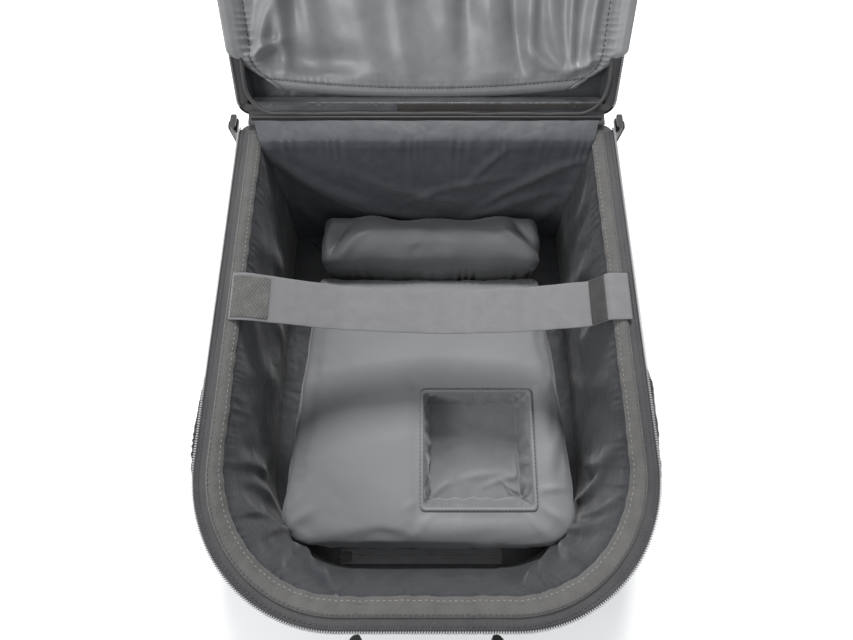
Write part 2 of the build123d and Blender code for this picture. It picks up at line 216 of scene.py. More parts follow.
def ripple(u, v, waves, seed):
    """Smooth uneven swelling from -1 to 1: a sum of sine waves of given lengths.

    Each wave is (length, share); its direction and phase are drawn from the seed.
    """
    draw = np.random.default_rng(seed)
    total = np.zeros(np.broadcast(u, v).shape)
    weight = 0.0
    for length, share in waves:
        for _ in range(3):
            angle = draw.uniform(0, math.pi)
            phase = draw.uniform(0, 2 * math.pi)
            total += share * np.sin(2 * math.pi * (u * math.cos(angle) + v * math.sin(angle)) / length
                                    + phase)
            weight += share
    return total / weight * 1.8


def shader_group(name, inputs, outputs):
    """Empty shader node group with named sockets, and its input and output nodes."""
    tree = bpy.data.node_groups.new(name, "ShaderNodeTree")
    for label, kind, value in inputs:
        socket = tree.interface.new_socket(label, in_out="INPUT", socket_type=kind)
        if value is not None:
            socket.default_value = value
    for label, kind in outputs:
        tree.interface.new_socket(label, in_out="OUTPUT", socket_type=kind)
    return tree, tree.nodes.new("NodeGroupInput"), tree.nodes.new("NodeGroupOutput")


def maths(tree, operation, first, second=None, clamp=False):
    """Math node fed by sockets or numbers; returns its output socket."""
    node = tree.nodes.new("ShaderNodeMath")
    node.operation = operation
    node.use_clamp = clamp
    for slot_number, value in enumerate((first, second)):
        if value is None:
            continue
        if isinstance(value, (int, float)):
            node.inputs[slot_number].default_value = value
        else:
            tree.links.new(value, node.inputs[slot_number])
    return node.outputs[0]


def noise(tree, vector, scale, detail=2.0, roughness=0.5):
    """Noise texture on a vector socket; returns its value socket."""
    node = tree.nodes.new("ShaderNodeTexNoise")
    node.inputs["Detail"].default_value = detail
    node.inputs["Roughness"].default_value = roughness
    if isinstance(scale, (int, float)):
        node.inputs["Scale"].default_value = scale
    else:
        tree.links.new(scale, node.inputs["Scale"])
    tree.links.new(vector, node.inputs["Vector"])
    return node.outputs[0]


# Weave: over-and-under threads as a product of two waves on the cloth's own UV map. Warp and
# weft are threads per metre.
weave, weave_in, weave_out = shader_group(
    "weave",
    [("UV", "NodeSocketVector", None), ("Warp", "NodeSocketFloat", 2000.0),
     ("Weft", "NodeSocketFloat", 2000.0)],
    [("Height", "NodeSocketFloat"), ("Shade", "NodeSocketFloat")])
split = weave.nodes.new("ShaderNodeSeparateXYZ")
weave.links.new(weave_in.outputs["UV"], split.inputs[0])
warp_wave = maths(weave, "SINE", maths(weave, "MULTIPLY", maths(
    weave, "MULTIPLY", split.outputs[0], weave_in.outputs["Warp"]), math.pi))
weft_wave = maths(weave, "SINE", maths(weave, "MULTIPLY", maths(
    weave, "MULTIPLY", split.outputs[1], weave_in.outputs["Weft"]), math.pi))
crossing = maths(weave, "MULTIPLY", warp_wave, weft_wave)
weave.links.new(maths(weave, "MULTIPLY_ADD", crossing, 0.5), weave_out.inputs["Height"])
slub = noise(weave, weave_in.outputs["UV"], 90.0, 3.0)
weave.links.new(maths(weave, "ADD", maths(weave, "MULTIPLY", crossing, 0.25), slub),
                weave_out.inputs["Shade"])

# Crumple: fine creases and soft dents in thin cloth, from noise folded about its middle.
crumple, crumple_in, crumple_out = shader_group(
    "crumple",
    [("Vector", "NodeSocketVector", None), ("Scale", "NodeSocketFloat", 40.0)],
    [("Height", "NodeSocketFloat")])
broad = noise(crumple, crumple_in.outputs["Vector"], crumple_in.outputs["Scale"], 2.0)
crease = maths(crumple, "ABSOLUTE", maths(crumple, "SUBTRACT", broad, 0.5))
fine_scale = maths(crumple, "MULTIPLY", crumple_in.outputs["Scale"], 3.1)
fine = noise(crumple, crumple_in.outputs["Vector"], fine_scale, 1.0)
crumple.links.new(maths(crumple, "ADD", maths(crumple, "MULTIPLY", crease, 1.6),
                        maths(crumple, "MULTIPLY", fine, 0.35)), crumple_out.inputs["Height"])

# Lint: sparse pale specks and a faint bloom of dust that sits on cloth and rubber.
lint, lint_in, lint_out = shader_group(
    "lint",
    [("Vector", "NodeSocketVector", None), ("Amount", "NodeSocketFloat", 0.5)],
    [("Mask", "NodeSocketFloat")])
specks = maths(lint, "MULTIPLY", maths(lint, "SUBTRACT", noise(lint, lint_in.outputs["Vector"], 900.0, 1.0),
                                       0.70),
               8.0, clamp=True)
bloom = maths(lint, "MULTIPLY", maths(lint, "SUBTRACT", noise(lint, lint_in.outputs["Vector"], 14.0, 4.0),
                                      0.42),
              1.4, clamp=True)
lint.links.new(maths(lint, "MULTIPLY", maths(lint, "ADD", specks, maths(lint, "MULTIPLY", bloom, 0.35)),
                     lint_in.outputs["Amount"], clamp=True), lint_out.inputs["Mask"])


def cloth(name, dark, light, roughness, warp=2000.0, weft=2000.0, thread=0.00006, crease_scale=40.0,
          crease=0.0006, sheen=0.1, dust=0.3, dust_tint=(0.35, 0.34, 0.33), specular=0.5):
    """Cloth finish: two thread shades, weave and crease relief, a little lint, an even sheen."""
    material = bpy.data.materials.new(name)
    material.use_nodes = True
    tree = material.node_tree
    shader = tree.nodes["Principled BSDF"]
    place = tree.nodes.new("ShaderNodeTexCoord")
    threads = tree.nodes.new("ShaderNodeGroup")
    threads.node_tree = weave
    threads.inputs["Warp"].default_value = warp
    threads.inputs["Weft"].default_value = weft
    tree.links.new(place.outputs["UV"], threads.inputs["UV"])
    creases = tree.nodes.new("ShaderNodeGroup")
    creases.node_tree = crumple
    creases.inputs["Scale"].default_value = crease_scale
    tree.links.new(place.outputs["Object"], creases.inputs["Vector"])
    specks_node = tree.nodes.new("ShaderNodeGroup")
    specks_node.node_tree = lint
    specks_node.inputs["Amount"].default_value = dust
    tree.links.new(place.outputs["Object"], specks_node.inputs["Vector"])
    shades = tree.nodes.new("ShaderNodeMix")
    shades.data_type = "RGBA"
    shades.inputs["A"].default_value = (*dark, 1)
    shades.inputs["B"].default_value = (*light, 1)
    tree.links.new(threads.outputs["Shade"], shades.inputs["Factor"])
    dusty = tree.nodes.new("ShaderNodeMix")
    dusty.data_type = "RGBA"
    dusty.inputs["B"].default_value = (*dust_tint, 1)
    tree.links.new(shades.outputs["Result"], dusty.inputs["A"])
    tree.links.new(maths(tree, "MULTIPLY", specks_node.outputs["Mask"], 0.5), dusty.inputs["Factor"])
    tree.links.new(dusty.outputs["Result"], shader.inputs["Base Color"])
    worn = maths(tree, "ADD", maths(tree, "MULTIPLY", threads.outputs["Shade"], 0.12), roughness - 0.06)
    tree.links.new(worn, shader.inputs["Roughness"])
    coarse = tree.nodes.new("ShaderNodeBump")
    coarse.inputs["Distance"].default_value = crease
    tree.links.new(creases.outputs["Height"], coarse.inputs["Height"])
    fine_bump = tree.nodes.new("ShaderNodeBump")
    fine_bump.inputs["Distance"].default_value = thread
    tree.links.new(threads.outputs["Height"], fine_bump.inputs["Height"])
    tree.links.new(coarse.outputs["Normal"], fine_bump.inputs["Normal"])
    tree.links.new(fine_bump.outputs["Normal"], shader.inputs["Normal"])
    shader.inputs["Sheen Weight"].default_value = sheen
    shader.inputs["Sheen Roughness"].default_value = 0.4
    shader.inputs["Specular IOR Level"].default_value = specular
    return material


def full_loop(count):
    """Even runs once round the whole outline, without repeating the first."""
    return np.linspace(-half_edge, half_edge, count, endpoint=False)


coated_nylon = cloth("coated_nylon", (0.018, 0.018, 0.020), (0.040, 0.040, 0.043), 0.55, 1500, 1500, 0.00012,
                     30.0, 0.0007, 0.12, 0.35)
band_bow = 0.0016
band_ripple = 0.0009
run = full_loop(520)
up = np.linspace(0, 1, 34)
turn_in = np.clip((up - 0.965) / 0.035, 0, 1) ** 2 * 0.004
full = np.sin(math.pi * up) ** 0.6
waves = ripple(run[:, None], up[None, :] * wall_top, ((0.11, 1.0), (0.045, 0.5), (0.02, 0.25)), 11)
inset = turn_in[None, :] - full[None, :] * (band_bow + band_ripple * waves)
side_band = sheet_mesh("side_band", carried(run, inset, wall_bottom + up[None, :] * (wall_top - wall_bottom) +
                                            np.zeros_like(inset)), coated_nylon, around=True)
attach(side_band, "base")
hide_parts("outer_cover")

# ---------------------------------------------------------------- underside
# The same coated nylon closes the bottom, drawn tight over the floor foam, with a corded seam
# all round it.


def filled(count, inset, height, rings=24, tight=1.0):
    """Surface over the whole outline: rings shrink from the edge to the middle, height(ring)."""
    run = full_loop(count)
    share = np.linspace(1, 0.004, rings) ** tight
    edge = carried(run, np.full((count, 1), inset), 0.0)[:, 0, :2]
    middle = edge.mean(0)
    points = np.zeros((count, rings, 3))
    points[..., :2] = middle + (edge - middle)[:, None, :] * share[None, :, None]
    points[..., 2] = height(points[..., 0], points[..., 1], share[None, :])
    return points


def flat_uv(piece, axes=(0, 1)):
    """UV map straight from the piece's own coordinates, for cloth cut flat."""
    mesh = piece.data
    place = np.zeros(len(mesh.vertices) * 3)
    mesh.vertices.foreach_get("co", place)
    index = np.zeros(len(mesh.loops), int)
    mesh.loops.foreach_get("vertex_index", index)
    layer = mesh.uv_layers.get("UVMap") or mesh.uv_layers.new(name="UVMap")
    layer.data.foreach_set("uv", place.reshape(-1, 3)[index][:, list(axes)].ravel())
    return piece


underside_skin = 0.0012
underside = sheet_mesh("underside", filled(200, 0.0, lambda x, y, share: underside_skin * (1 - share ** 8) * (
    0.6 + 0.4 * ripple(x, y, ((0.2, 1.0), (0.07, 0.4)), 5)) * 0.8), coated_nylon, around=True,
    closed_end=True)
flat_uv(underside)
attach(underside, "base")
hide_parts("bottom_panel")

cord_cover = cloth("piping_cover", (0.012, 0.012, 0.013), (0.028, 0.028, 0.030), 0.5, 900, 900, 0.0001, 60.0,
                   0.0002,
                   0.1, 0.3)


def dressed(finish, *names):
    """Gives the named CAD nodes one material."""
    for name in names:
        nodes[name].data.materials.clear()
        nodes[name].data.materials.append(finish)


dressed(cord_cover, "bottom_piping", "lid_piping")

foam_finish = cloth("cut_foam", (0.05, 0.05, 0.05), (0.09, 0.09, 0.09), 0.9, 700, 700, 0.0003, 300.0, 0.0006,
                    0.0, 0.1)
dressed(foam_finish, "floor_foam", "left_wall_foam", "right_wall_foam", "front_wall_foam", "back_wall_foam",
        "back_wedge_foam", "lid_wall_foam", "lid_top_foam")

board_finish = cloth("stiff_board", (0.03, 0.03, 0.03), (0.045, 0.045, 0.045), 0.6, 300, 300, 0.00002, 120.0,
                     0.0001,
                     0.0, 0.2)
dressed(board_finish, "floor_board", "lid_board")

# ---------------------------------------------------------------- zipper of the base
# A woven tape is sewn flat on the wall's top; its moulded coil stands along the outer edge and
# stops short of the hinge on both sides.
tape_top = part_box("base_zipper_tape")[1].z
tape_width = 0.0092
zip_reach = hinge_corner + 0.3 * back_arc
zip_run = np.linspace(-zip_reach, zip_reach, 620)
zipper_weave = cloth("zipper_weave", (0.024, 0.024, 0.026), (0.048, 0.048, 0.050), 0.75, 1300, 700, 0.00016,
                     90.0,
                     0.0003, 0.25, 0.5)


def strip_profile(corners, count):
    """Even points along a profile given by its corner points (inset, height)."""
    corners = np.asarray(corners, float)
    length = np.concatenate([[0], np.cumsum(np.linalg.norm(np.diff(corners, axis=0), axis=1))])
    at = np.linspace(0, length[-1], count)
    return np.interp(at, length, corners[:, 0]), np.interp(at, length, corners[:, 1])


def softened(values, times=2):
    """Profile values with their corners rounded off by repeated averaging, ends kept."""
    values = values.copy()
    for _ in range(times):
        values[1:-1] = (values[:-2] + 2 * values[1:-1] + values[2:]) / 4
    return values


tape_inset, tape_height = strip_profile(
    [(0.0002, tape_top - 0.0022), (0.0008, tape_top - 0.0002), (0.0016, tape_top),
     (0.0060, tape_top - 0.0004),
     (tape_width + 0.0012, tape_top - 0.0007)], 12)
tape_wave = 0.0003 * ripple(zip_run[:, None], tape_inset[None, :] * 3, ((0.09, 1.0), (0.03, 0.6)), 21)
base_tape = sheet_mesh("base_tape", carried(zip_run, softened(tape_inset)[None, :] + 0 * tape_wave,
                                            softened(tape_height)[None, :] + tape_wave), zipper_weave)
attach(base_tape, "base")
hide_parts("base_zipper_tape")


def bead_shape(along, across, tall, sides=6, rings=3):
    """Small lozenge of a few dozen faces: an ellipsoid by rings between two end points."""
    angle = np.linspace(0, 2 * math.pi, sides, endpoint=False)
    height = np.linspace(-1, 1, rings + 2)[1:-1]
    girth = np.sqrt(1 - (height * 0.93) ** 2)
    body = np.stack([np.outer(girth, np.cos(angle)) * along, np.repeat(height[:, None], sides, 1) * across,
                     np.outer(girth, np.sin(angle)) * tall], -1).reshape(-1, 3)
    points = np.concatenate([body, [[0, -across, 0], [0, across, 0]]])
    faces = []
    for ring in range(rings - 1):
        for side in range(sides):
            a, b = ring * sides + side, ring * sides + (side + 1) % sides
            faces.append((a, a + sides, b + sides, b))
    for side in range(sides):
        after = (side + 1) % sides
        faces.append((len(body), side, after))
        last = (rings - 1) * sides
        faces.append((len(body) + 1, last + after, last + side))
    return points / 2, faces


def strewn(name, shape, centres, along, across, material):
    """One piece made of many copies of a small shape, each turned to its own two directions."""
    points, faces = shape
    along = along / np.linalg.norm(along, axis=-1, keepdims=True)
    across = across - (across * along).sum(-1, keepdims=True) * along
    across = across / np.linalg.norm(across, axis=-1, keepdims=True)
    up = np.cross(along, across)
    place = (centres[:, None, :] + points[None, :, 0:1] * along[:, None, :] + points[None, :, 1:2]
             * across[:, None, :]
             + points[None, :, 2:3] * up[:, None, :])
    count = len(points)
    copies = [tuple(corner + number * count for corner in face)
              for number in range(len(centres)) for face in faces]
    mesh = bpy.data.meshes.new(name)
    mesh.from_pydata(place.reshape(-1, 3).tolist(), [], copies)
    mesh.uv_layers.new(name="UVMap")
    mesh.polygons.foreach_set("use_smooth", np.ones(len(mesh.polygons), bool))
    mesh.materials.append(material)
    piece = bpy.data.objects.new(name, mesh)
    bpy.context.scene.collection.objects.link(piece)
    flat_uv(piece)
    return piece


def along_edge(run, inset, height):
    """Places, forward directions and outward directions along the outline, as 3-D arrays."""
    place, normal = case_edge(run)
    centre = np.zeros((len(run), 3))
    centre[:, :2] = place - inset * normal
    centre[:, 2] = height
    outward = np.concatenate([normal, np.zeros((len(run), 1))], 1)
    forward = np.stack([-normal[:, 1], normal[:, 0], np.zeros(len(run))], 1)
    return centre, forward, outward


def plastic(name, dark, light, roughness, grain=400.0, relief=0.00003, coat=0.0, metallic=0.0, dust=0.3):
    """Moulded plastic or painted metal: two close shades, fine grain, a little lint."""
    material = bpy.data.materials.new(name)
    material.use_nodes = True
    tree = material.node_tree
    shader = tree.nodes["Principled BSDF"]
    place = tree.nodes.new("ShaderNodeTexCoord")
    mottle = noise(tree, place.outputs["Object"], grain, 3.0)
    specks_node = tree.nodes.new("ShaderNodeGroup")
    specks_node.node_tree = lint
    specks_node.inputs["Amount"].default_value = dust
    tree.links.new(place.outputs["Object"], specks_node.inputs["Vector"])
    shades = tree.nodes.new("ShaderNodeMix")
    shades.data_type = "RGBA"
    shades.inputs["A"].default_value = (*dark, 1)
    shades.inputs["B"].default_value = (*light, 1)
    tree.links.new(mottle, shades.inputs["Factor"])
    dusty = tree.nodes.new("ShaderNodeMix")
    dusty.data_type = "RGBA"
    dusty.inputs["B"].default_value = (0.35, 0.34, 0.33, 1)
    tree.links.new(shades.outputs["Result"], dusty.inputs["A"])
    tree.links.new(maths(tree, "MULTIPLY", specks_node.outputs["Mask"], 0.4), dusty.inputs["Factor"])
    tree.links.new(dusty.outputs["Result"], shader.inputs["Base Color"])
    rough = maths(tree, "ADD", maths(tree, "MULTIPLY", mottle, 0.15), roughness - 0.07)
    tree.links.new(rough, shader.inputs["Roughness"])
    bump = tree.nodes.new("ShaderNodeBump")
    bump.inputs["Distance"].default_value = relief
    tree.links.new(mottle, bump.inputs["Height"])
    tree.links.new(bump.outputs["Normal"], shader.inputs["Normal"])
    shader.inputs["Coat Weight"].default_value = coat
    shader.inputs["Metallic"].default_value = metallic
    return material


coil_nylon = plastic("coil_nylon", (0.24, 0.24, 0.25), (0.40, 0.40, 0.41), 0.35, 900.0)
tooth_pitch = 0.0018
coil_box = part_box("base_zipper_coil")
coil_height = (coil_box[0].z + coil_box[1].z) / 2
coil_inset = 0.0016
tooth_run = np.arange(-zip_reach, zip_reach, tooth_pitch)
centre, forward, outward = along_edge(tooth_run, coil_inset, coil_height)
tooth = bead_shape(0.0012, 0.0025, 0.0024)
lean_forward = forward + 0.25 * outward
base_coil = strewn("base_coil", tooth, centre, lean_forward, outward, coil_nylon)
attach(base_coil, "base")
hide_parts("base_zipper_coil")

# ---------------------------------------------------------------- stitching on the rim
# Two rows of lockstitch hold the tape and the loop band to the wall.
thread_finish = plastic("sewing_thread", (0.030, 0.030, 0.032), (0.075, 0.075, 0.080), 0.6, 900.0)
stitch_length = 0.0027
stitch_pitch = 0.0038
stitch = bead_shape(stitch_length, 0.0007, 0.0006)
stitch_run = np.arange(-zip_reach, zip_reach, stitch_pitch)
rows = []
for row_inset, row_height in ((0.0052, tape_top + 0.0001), (0.0122, tape_top + 0.0016)):
    rows.append(along_edge(stitch_run, row_inset, row_height))
rim_stitches = strewn("rim_stitches", stitch,
                      *(np.concatenate([row[part] for row in rows]) for part in range(3)),
                      thread_finish)
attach(rim_stitches, "base")

# ---------------------------------------------------------------- loop band on the rim
# Brushed loop tape covers the top of the padding on three sides. It rolls inwards over the
# padding's edge, lowest at the rounded front, where the padding is pulled in.
loop_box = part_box("rim_loop_band")
loop_top = loop_box[1].z
loop_start = 0.0100
loop_end = 0.0212
loop_pile = cloth("loop_pile", (0.062, 0.060, 0.058), (0.106, 0.104, 0.101), 0.95, 2800, 2800, 0.00006, 620.0,
                  0.0009, 0.30, 0.4)


def front_share(run, soft=0.06):
    """1 round the front, falling smoothly to 0 along the straight sides."""
    far = np.abs(run)
    return 1 / (1 + np.exp((far - front_flat - front_arc * 0.9) / soft * 4))


loop_run = np.linspace(-zip_reach + 0.006, zip_reach - 0.006, 560)
band_inset, band_height = strip_profile(
    [(loop_start + 0.0002, loop_top - 0.0026), (loop_start + 0.0004, loop_top - 0.0004),
     (loop_start + 0.0022, loop_top + 0.0003), (loop_start + 0.0060, loop_top),
     (loop_end - 0.0022, loop_top - 0.0014),
     (loop_end, loop_top - 0.0034), (loop_end - 0.0002, loop_top - 0.0052),
     (loop_end - 0.0022, loop_top - 0.0056)], 26)
band_inset, band_height = softened(band_inset), softened(band_height)
reach = np.clip((band_inset - loop_start) / (loop_end - loop_start), 0, 1) ** 1.5
roll = front_share(loop_run)[:, None] * reach[None, :]
edge_wave = ripple(loop_run[:, None], 0 * band_inset[None, :], ((0.05, 1.0), (0.018, 0.8), (0.008, 0.4)), 31)
band_points = carried(loop_run, band_inset[None, :] + reach[None, :] * (0.0007 * edge_wave) + 0.0012 * roll,
                      band_height[None, :] - 0.0032 * roll + reach[None, :] * 0.0006 * edge_wave)
loop_band = sheet_mesh("loop_band", band_points, loop_pile)
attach(loop_band, "base")
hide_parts("rim_loop_band")

edge_col = int(np.argmin(np.abs(band_inset[:20] - (loop_end - 0.0020))))
edge_line = band_points[:, edge_col]
edge_length = np.concatenate([[0], np.cumsum(np.linalg.norm(np.diff(edge_line, axis=0), axis=1))])
edge_at = np.arange(0, edge_length[-1], 0.0041)
edge_even = np.stack([np.interp(edge_at, edge_length, edge_line[:, axis]) for axis in range(3)], 1)
edge_even[:, 2] += 0.0001
edge_ahead = np.gradient(edge_even, axis=0)
edge_across = np.cross(edge_ahead, np.tile((0.0, 0.0, 1.0), (len(edge_even), 1)))
pale_thread = plastic("pale_thread", (0.13, 0.13, 0.13), (0.26, 0.26, 0.26), 0.5, 900.0)
edge_stitches = strewn("lining_edge_stitches", bead_shape(0.0026, 0.0007, 0.0007), edge_even, edge_ahead,
                       edge_across, pale_thread)
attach(edge_stitches, "base")

# ---------------------------------------------------------------- wall lining
# Satin nylon, cut fuller than the wall: it is gathered into the rim seam in small tucks, hangs
# loose down the padding, and lies in deep slanting folds in the two rounded corners.


def ramp(value, low, high):
    """Smooth step from 0 at low to 1 at high."""
    share = np.clip((value - low) / (high - low), 0, 1)
    return share * share * (3 - 2 * share)


def folds(u, v, creases):
    """Sum of soft ridges: each is a middle (u, v), a direction, a half width, a half length, a depth."""
    total = np.zeros(np.broadcast(u, v).shape)
    for middle_u, middle_v, direction, half_width, half_fold, depth in creases:
        angle = math.radians(direction)
        down = (u - middle_u) * math.cos(angle) + (v - middle_v) * math.sin(angle)
        off = -(u - middle_u) * math.sin(angle) + (v - middle_v) * math.cos(angle)
        bend = off + 0.12 * down ** 2 / half_fold
        total += depth * np.exp(-(bend / half_width) ** 2 - np.abs(down / half_fold) ** 3)
    return total


def tucks(run, pitch, seed):
    """Uneven gathers along a seam, 0 between tucks and 1 on them: a cosine with drifting phase."""
    draw = np.random.default_rng(seed)
    drift = 0.0
    for length in (0.13, 0.071, 0.037):
        drift = drift + draw.uniform(0.25, 0.5) * np.sin(2 * math.pi * run / length + draw.uniform(0, 6.28))
    depth = 0.65 + 0.35 * np.sin(2 * math.pi * run / 0.053 + draw.uniform(0, 6.28))
    return (0.5 + 0.5 * np.cos(2 * math.pi * (run / pitch + drift))) ** 1.6 * depth


dark_satin = cloth("dark_satin", (0.027, 0.029, 0.032), (0.045, 0.047, 0.052), 0.42, 2600, 2600, 0.00004,
                   34.0, 0.0011,
                   0.15, 0.25, specular=0.6)
floor_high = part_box("floor_lining")[1]
lining_top = loop_top - 0.0030
wall_drop = lining_top - floor_high.z
lining_inset = 0.0202
wall_run = np.linspace(-zip_reach, zip_reach, 900)
drop = np.linspace(0, 1, 96) ** 1.25
depth_down = drop * wall_drop
corner_middle = front_flat + front_arc / 2
corner_folds = []
for side in (-1, 1):
    for place_u, place_v, direction, half_width, half_fold, depth in (
            (-0.060, 0.050, 70, 0.0060, 0.040, 0.0055), (-0.036, 0.072, 62, 0.0070, 0.052, 0.0070),
            (-0.012, 0.060, 84, 0.0065, 0.046, 0.0060), (0.014, 0.078, 98, 0.0080, 0.050, 0.0075),
            (0.036, 0.056, 104, 0.0060, 0.040, 0.0050), (0.060, 0.086, 112, 0.0080, 0.045, 0.0058),
            (0.088, 0.060, 96, 0.0070, 0.038, 0.0042), (-0.090, 0.070, 78, 0.0075, 0.040, 0.0042)):
        corner_folds.append((side * (corner_middle + place_u), place_v, 90 + side * (direction - 90),
                             half_width,
                             half_fold, depth))
side_folds = [(0.30, 0.070, 80, 0.010, 0.050, 0.0035), (0.345, 0.050, 98, 0.008, 0.036, 0.0028),
              (0.40, 0.080, 86, 0.012, 0.050, 0.0034), (0.455, 0.060, 94, 0.009, 0.040, 0.0026),
              (-0.31, 0.060, 96, 0.011, 0.048, 0.0034), (-0.365, 0.078, 84, 0.010, 0.046, 0.0030),
              (-0.42, 0.056, 92, 0.012, 0.044, 0.0032), (0.0, 0.060, 90, 0.012, 0.040, 0.0030),
              (-0.03, 0.052, 80, 0.007, 0.030, 0.0030), (0.035, 0.066, 99, 0.009, 0.036, 0.0032)]
gather = tucks(wall_run[:, None], 0.0125, 3)
fine_gather = tucks(wall_run[:, None], 0.0051, 7)
at_front = front_share(wall_run, 0.14)[:, None]
gather_reach = 0.007 + 0.016 * at_front + (0.003 + 0.008 * at_front) * ripple(
    wall_run[:, None], 0.0, ((0.09, 1.0), (0.04, 0.7)), 8)
down = depth_down[None, :]
seam_roll = 0.0034 * (1 - np.exp(-down / 0.0035))
gathered = ((0.0013 + 0.0014 * at_front) * gather * np.exp(-down / gather_reach) + 0.0010 * fine_gather
            * np.exp(-down / 0.008)) * (
    1 - np.exp(-down / 0.0040))
loose = 0.0032 * np.sin(math.pi * drop[None, :]) ** 0.8
drift = 0.0016 * ripple(wall_run[:, None], down, ((0.16, 1.0), (0.07, 0.7), (0.03, 0.35)), 17) * np.sin(
    math.pi * np.clip(drop[None, :] * 1.1, 0, 1))
creased = folds(wall_run[:, None], down, corner_folds + side_folds) * (0.68 + 0.20 * at_front)
lining_points = carried(wall_run, lining_inset - 0.0020 + seam_roll + gathered + loose + drift + creased,
                        lining_top - down - 0.0034 * at_front * np.exp(-down / 0.012))
wall_lining = sheet_mesh("wall_lining", lining_points, dark_satin, inward=True)
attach(wall_lining, "base")
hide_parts("left_lining", "front_lining", "right_lining")


# ---------------------------------------------------------------- back wall lining
# The hinge-end wall slopes in towards the floor over a foam wedge. Its satin is pulled from the
# two upper corners, so long creases fan across it.
slope_low, slope_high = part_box("back_lining")
back_half = slope_high.x + 0.0012
across = np.linspace(-1, 1, 220)
fall = np.linspace(0, 1, 90)
side_x, level = np.meshgrid(across * back_half, fall, indexing="ij")
wall_y = slope_high.y - 0.0016 - (slope_high.y - slope_low.y - 0.0032) * level
back_drop = slope_high.z - slope_low.z
fan = folds(side_x, level * back_drop, [
    (-0.105, 0.045, 38, 0.0050, 0.060, 0.0042), (-0.070, 0.075, 30, 0.0060, 0.070, 0.0040),
    (-0.020, 0.060, 22, 0.0055, 0.060, 0.0032), (0.100, 0.040, 146, 0.0050, 0.058, 0.0040),
    (0.075, 0.080, 152, 0.0065, 0.060, 0.0042), (0.030, 0.050, 160, 0.0050, 0.050, 0.0028),
    (-0.120, 0.095, 70, 0.0080, 0.040, 0.0036), (0.120, 0.095, 112, 0.0080, 0.040, 0.0036),
    (0.0, 0.100, 8, 0.0070, 0.070, 0.0028), (-0.05, 0.025, 55, 0.0040, 0.024, 0.0024),
    (0.055, 0.022, 128, 0.0040, 0.024, 0.0024), (0.140, 0.05, 96, 0.006, 0.04, 0.003),
    (-0.140, 0.05, 84, 0.006, 0.04, 0.003)])
top_tucks = 0.0016 * tucks(side_x, 0.0105, 12) * np.exp(-level * back_drop / 0.014)
swell = 0.0030 * np.sin(math.pi * level) + 0.0014 * ripple(side_x, level * back_drop,
                                                           ((0.13, 1.0), (0.05, 0.6)), 41)
back_points = np.stack([side_x, wall_y - fan - top_tucks - swell * np.sin(math.pi * level) ** 0.5,
                        slope_high.z + 0.0004 - back_drop * level], -1)
# Above the slope it rolls over the back rim, out to the hinge.
over_y = np.array([0.1985, 0.1960, 0.1930, 0.1895, 0.1862, 0.1836, 0.1818, 0.1806, 0.1799])
over_z = np.array([0.1604, 0.1603, 0.1600, 0.1595, 0.1589, 0.1583, 0.1577, 0.1570, 0.1560])
over_x = across[:, None] * np.interp(
    over_y, [0.180, 0.199], [back_half, back_half + 0.0050])[None, :]
over_tuck = 0.0010 * tucks(over_x, 0.0105, 12) * ramp(-over_y, -0.190, -0.181)[None, :]
over = np.stack([over_x, over_y[None, :] - over_tuck, over_z[None, :] + 0.0005 * ripple(
    over_x, over_y[None, :], ((0.05, 1.0), (0.02, 0.5)), 43)], -1)
back_points = np.concatenate([over, back_points[:, 2:]], 1)
# The back wall's satin is a lighter copy of the lining satin: painted light on the sloping back wall.
back_satin_painted_light = cloth("back_satin_painted_light", (0.044, 0.047, 0.053), (0.074, 0.077, 0.085), 0.50, 2600, 2600, 0.00004,
                   34.0, 0.0011,
                   0.10, 0.15, specular=0.35)
back_wall_lining = sheet_mesh("back_wall_lining", back_points, back_satin_painted_light)
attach(back_wall_lining, "base")
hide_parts("back_lining")

# ---------------------------------------------------------------- floor lining and its zipper
# Satin over the floor foam. A short coil zipper runs along the front edge of the floor, for
# reaching the foam; it bows forwards with the front wall.
floor_inset = 0.0196
floor_lining = sheet_mesh("floor_satin", filled(260, floor_inset,
                                                lambda x, y, share: floor_high.z + 0.0001 + (
    0.0005 + 0.0005 * ripple(x, y, ((0.12, 1.0), (0.04, 0.5)), 19)) * (1 - share ** 6), 30), dark_satin,
    around=True, closed_end=True)
flat_uv(floor_lining)
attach(floor_lining, "base")
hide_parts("floor_lining")

zip_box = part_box("floor_zipper_tape")
floor_zip_mid = (zip_box[0] + zip_box[1]) / 2
floor_zip_half = (zip_box[1].x - zip_box[0].x) / 2
zip_u = np.linspace(-1, 1, 90)
zip_v = np.linspace(-1, 1, 7)
zip_x = floor_zip_mid.x + zip_u * floor_zip_half
lift = zip_box[1].z
tape_points = np.zeros((len(zip_u), len(zip_v), 3))
tape_points[..., 0] = zip_x[:, None]
tape_points[..., 1] = floor_zip_mid.y + zip_v[None, :] * (zip_box[1].y - zip_box[0].y) / 2
tape_points[..., 2] = lift + 0.0001 * ripple(zip_x[:, None], zip_v[None, :] * 0.006, ((0.03, 1.0),), 23)
floor_tape = sheet_mesh("floor_tape", tape_points, zipper_weave)
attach(floor_tape, "base")
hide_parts("floor_zipper_tape")
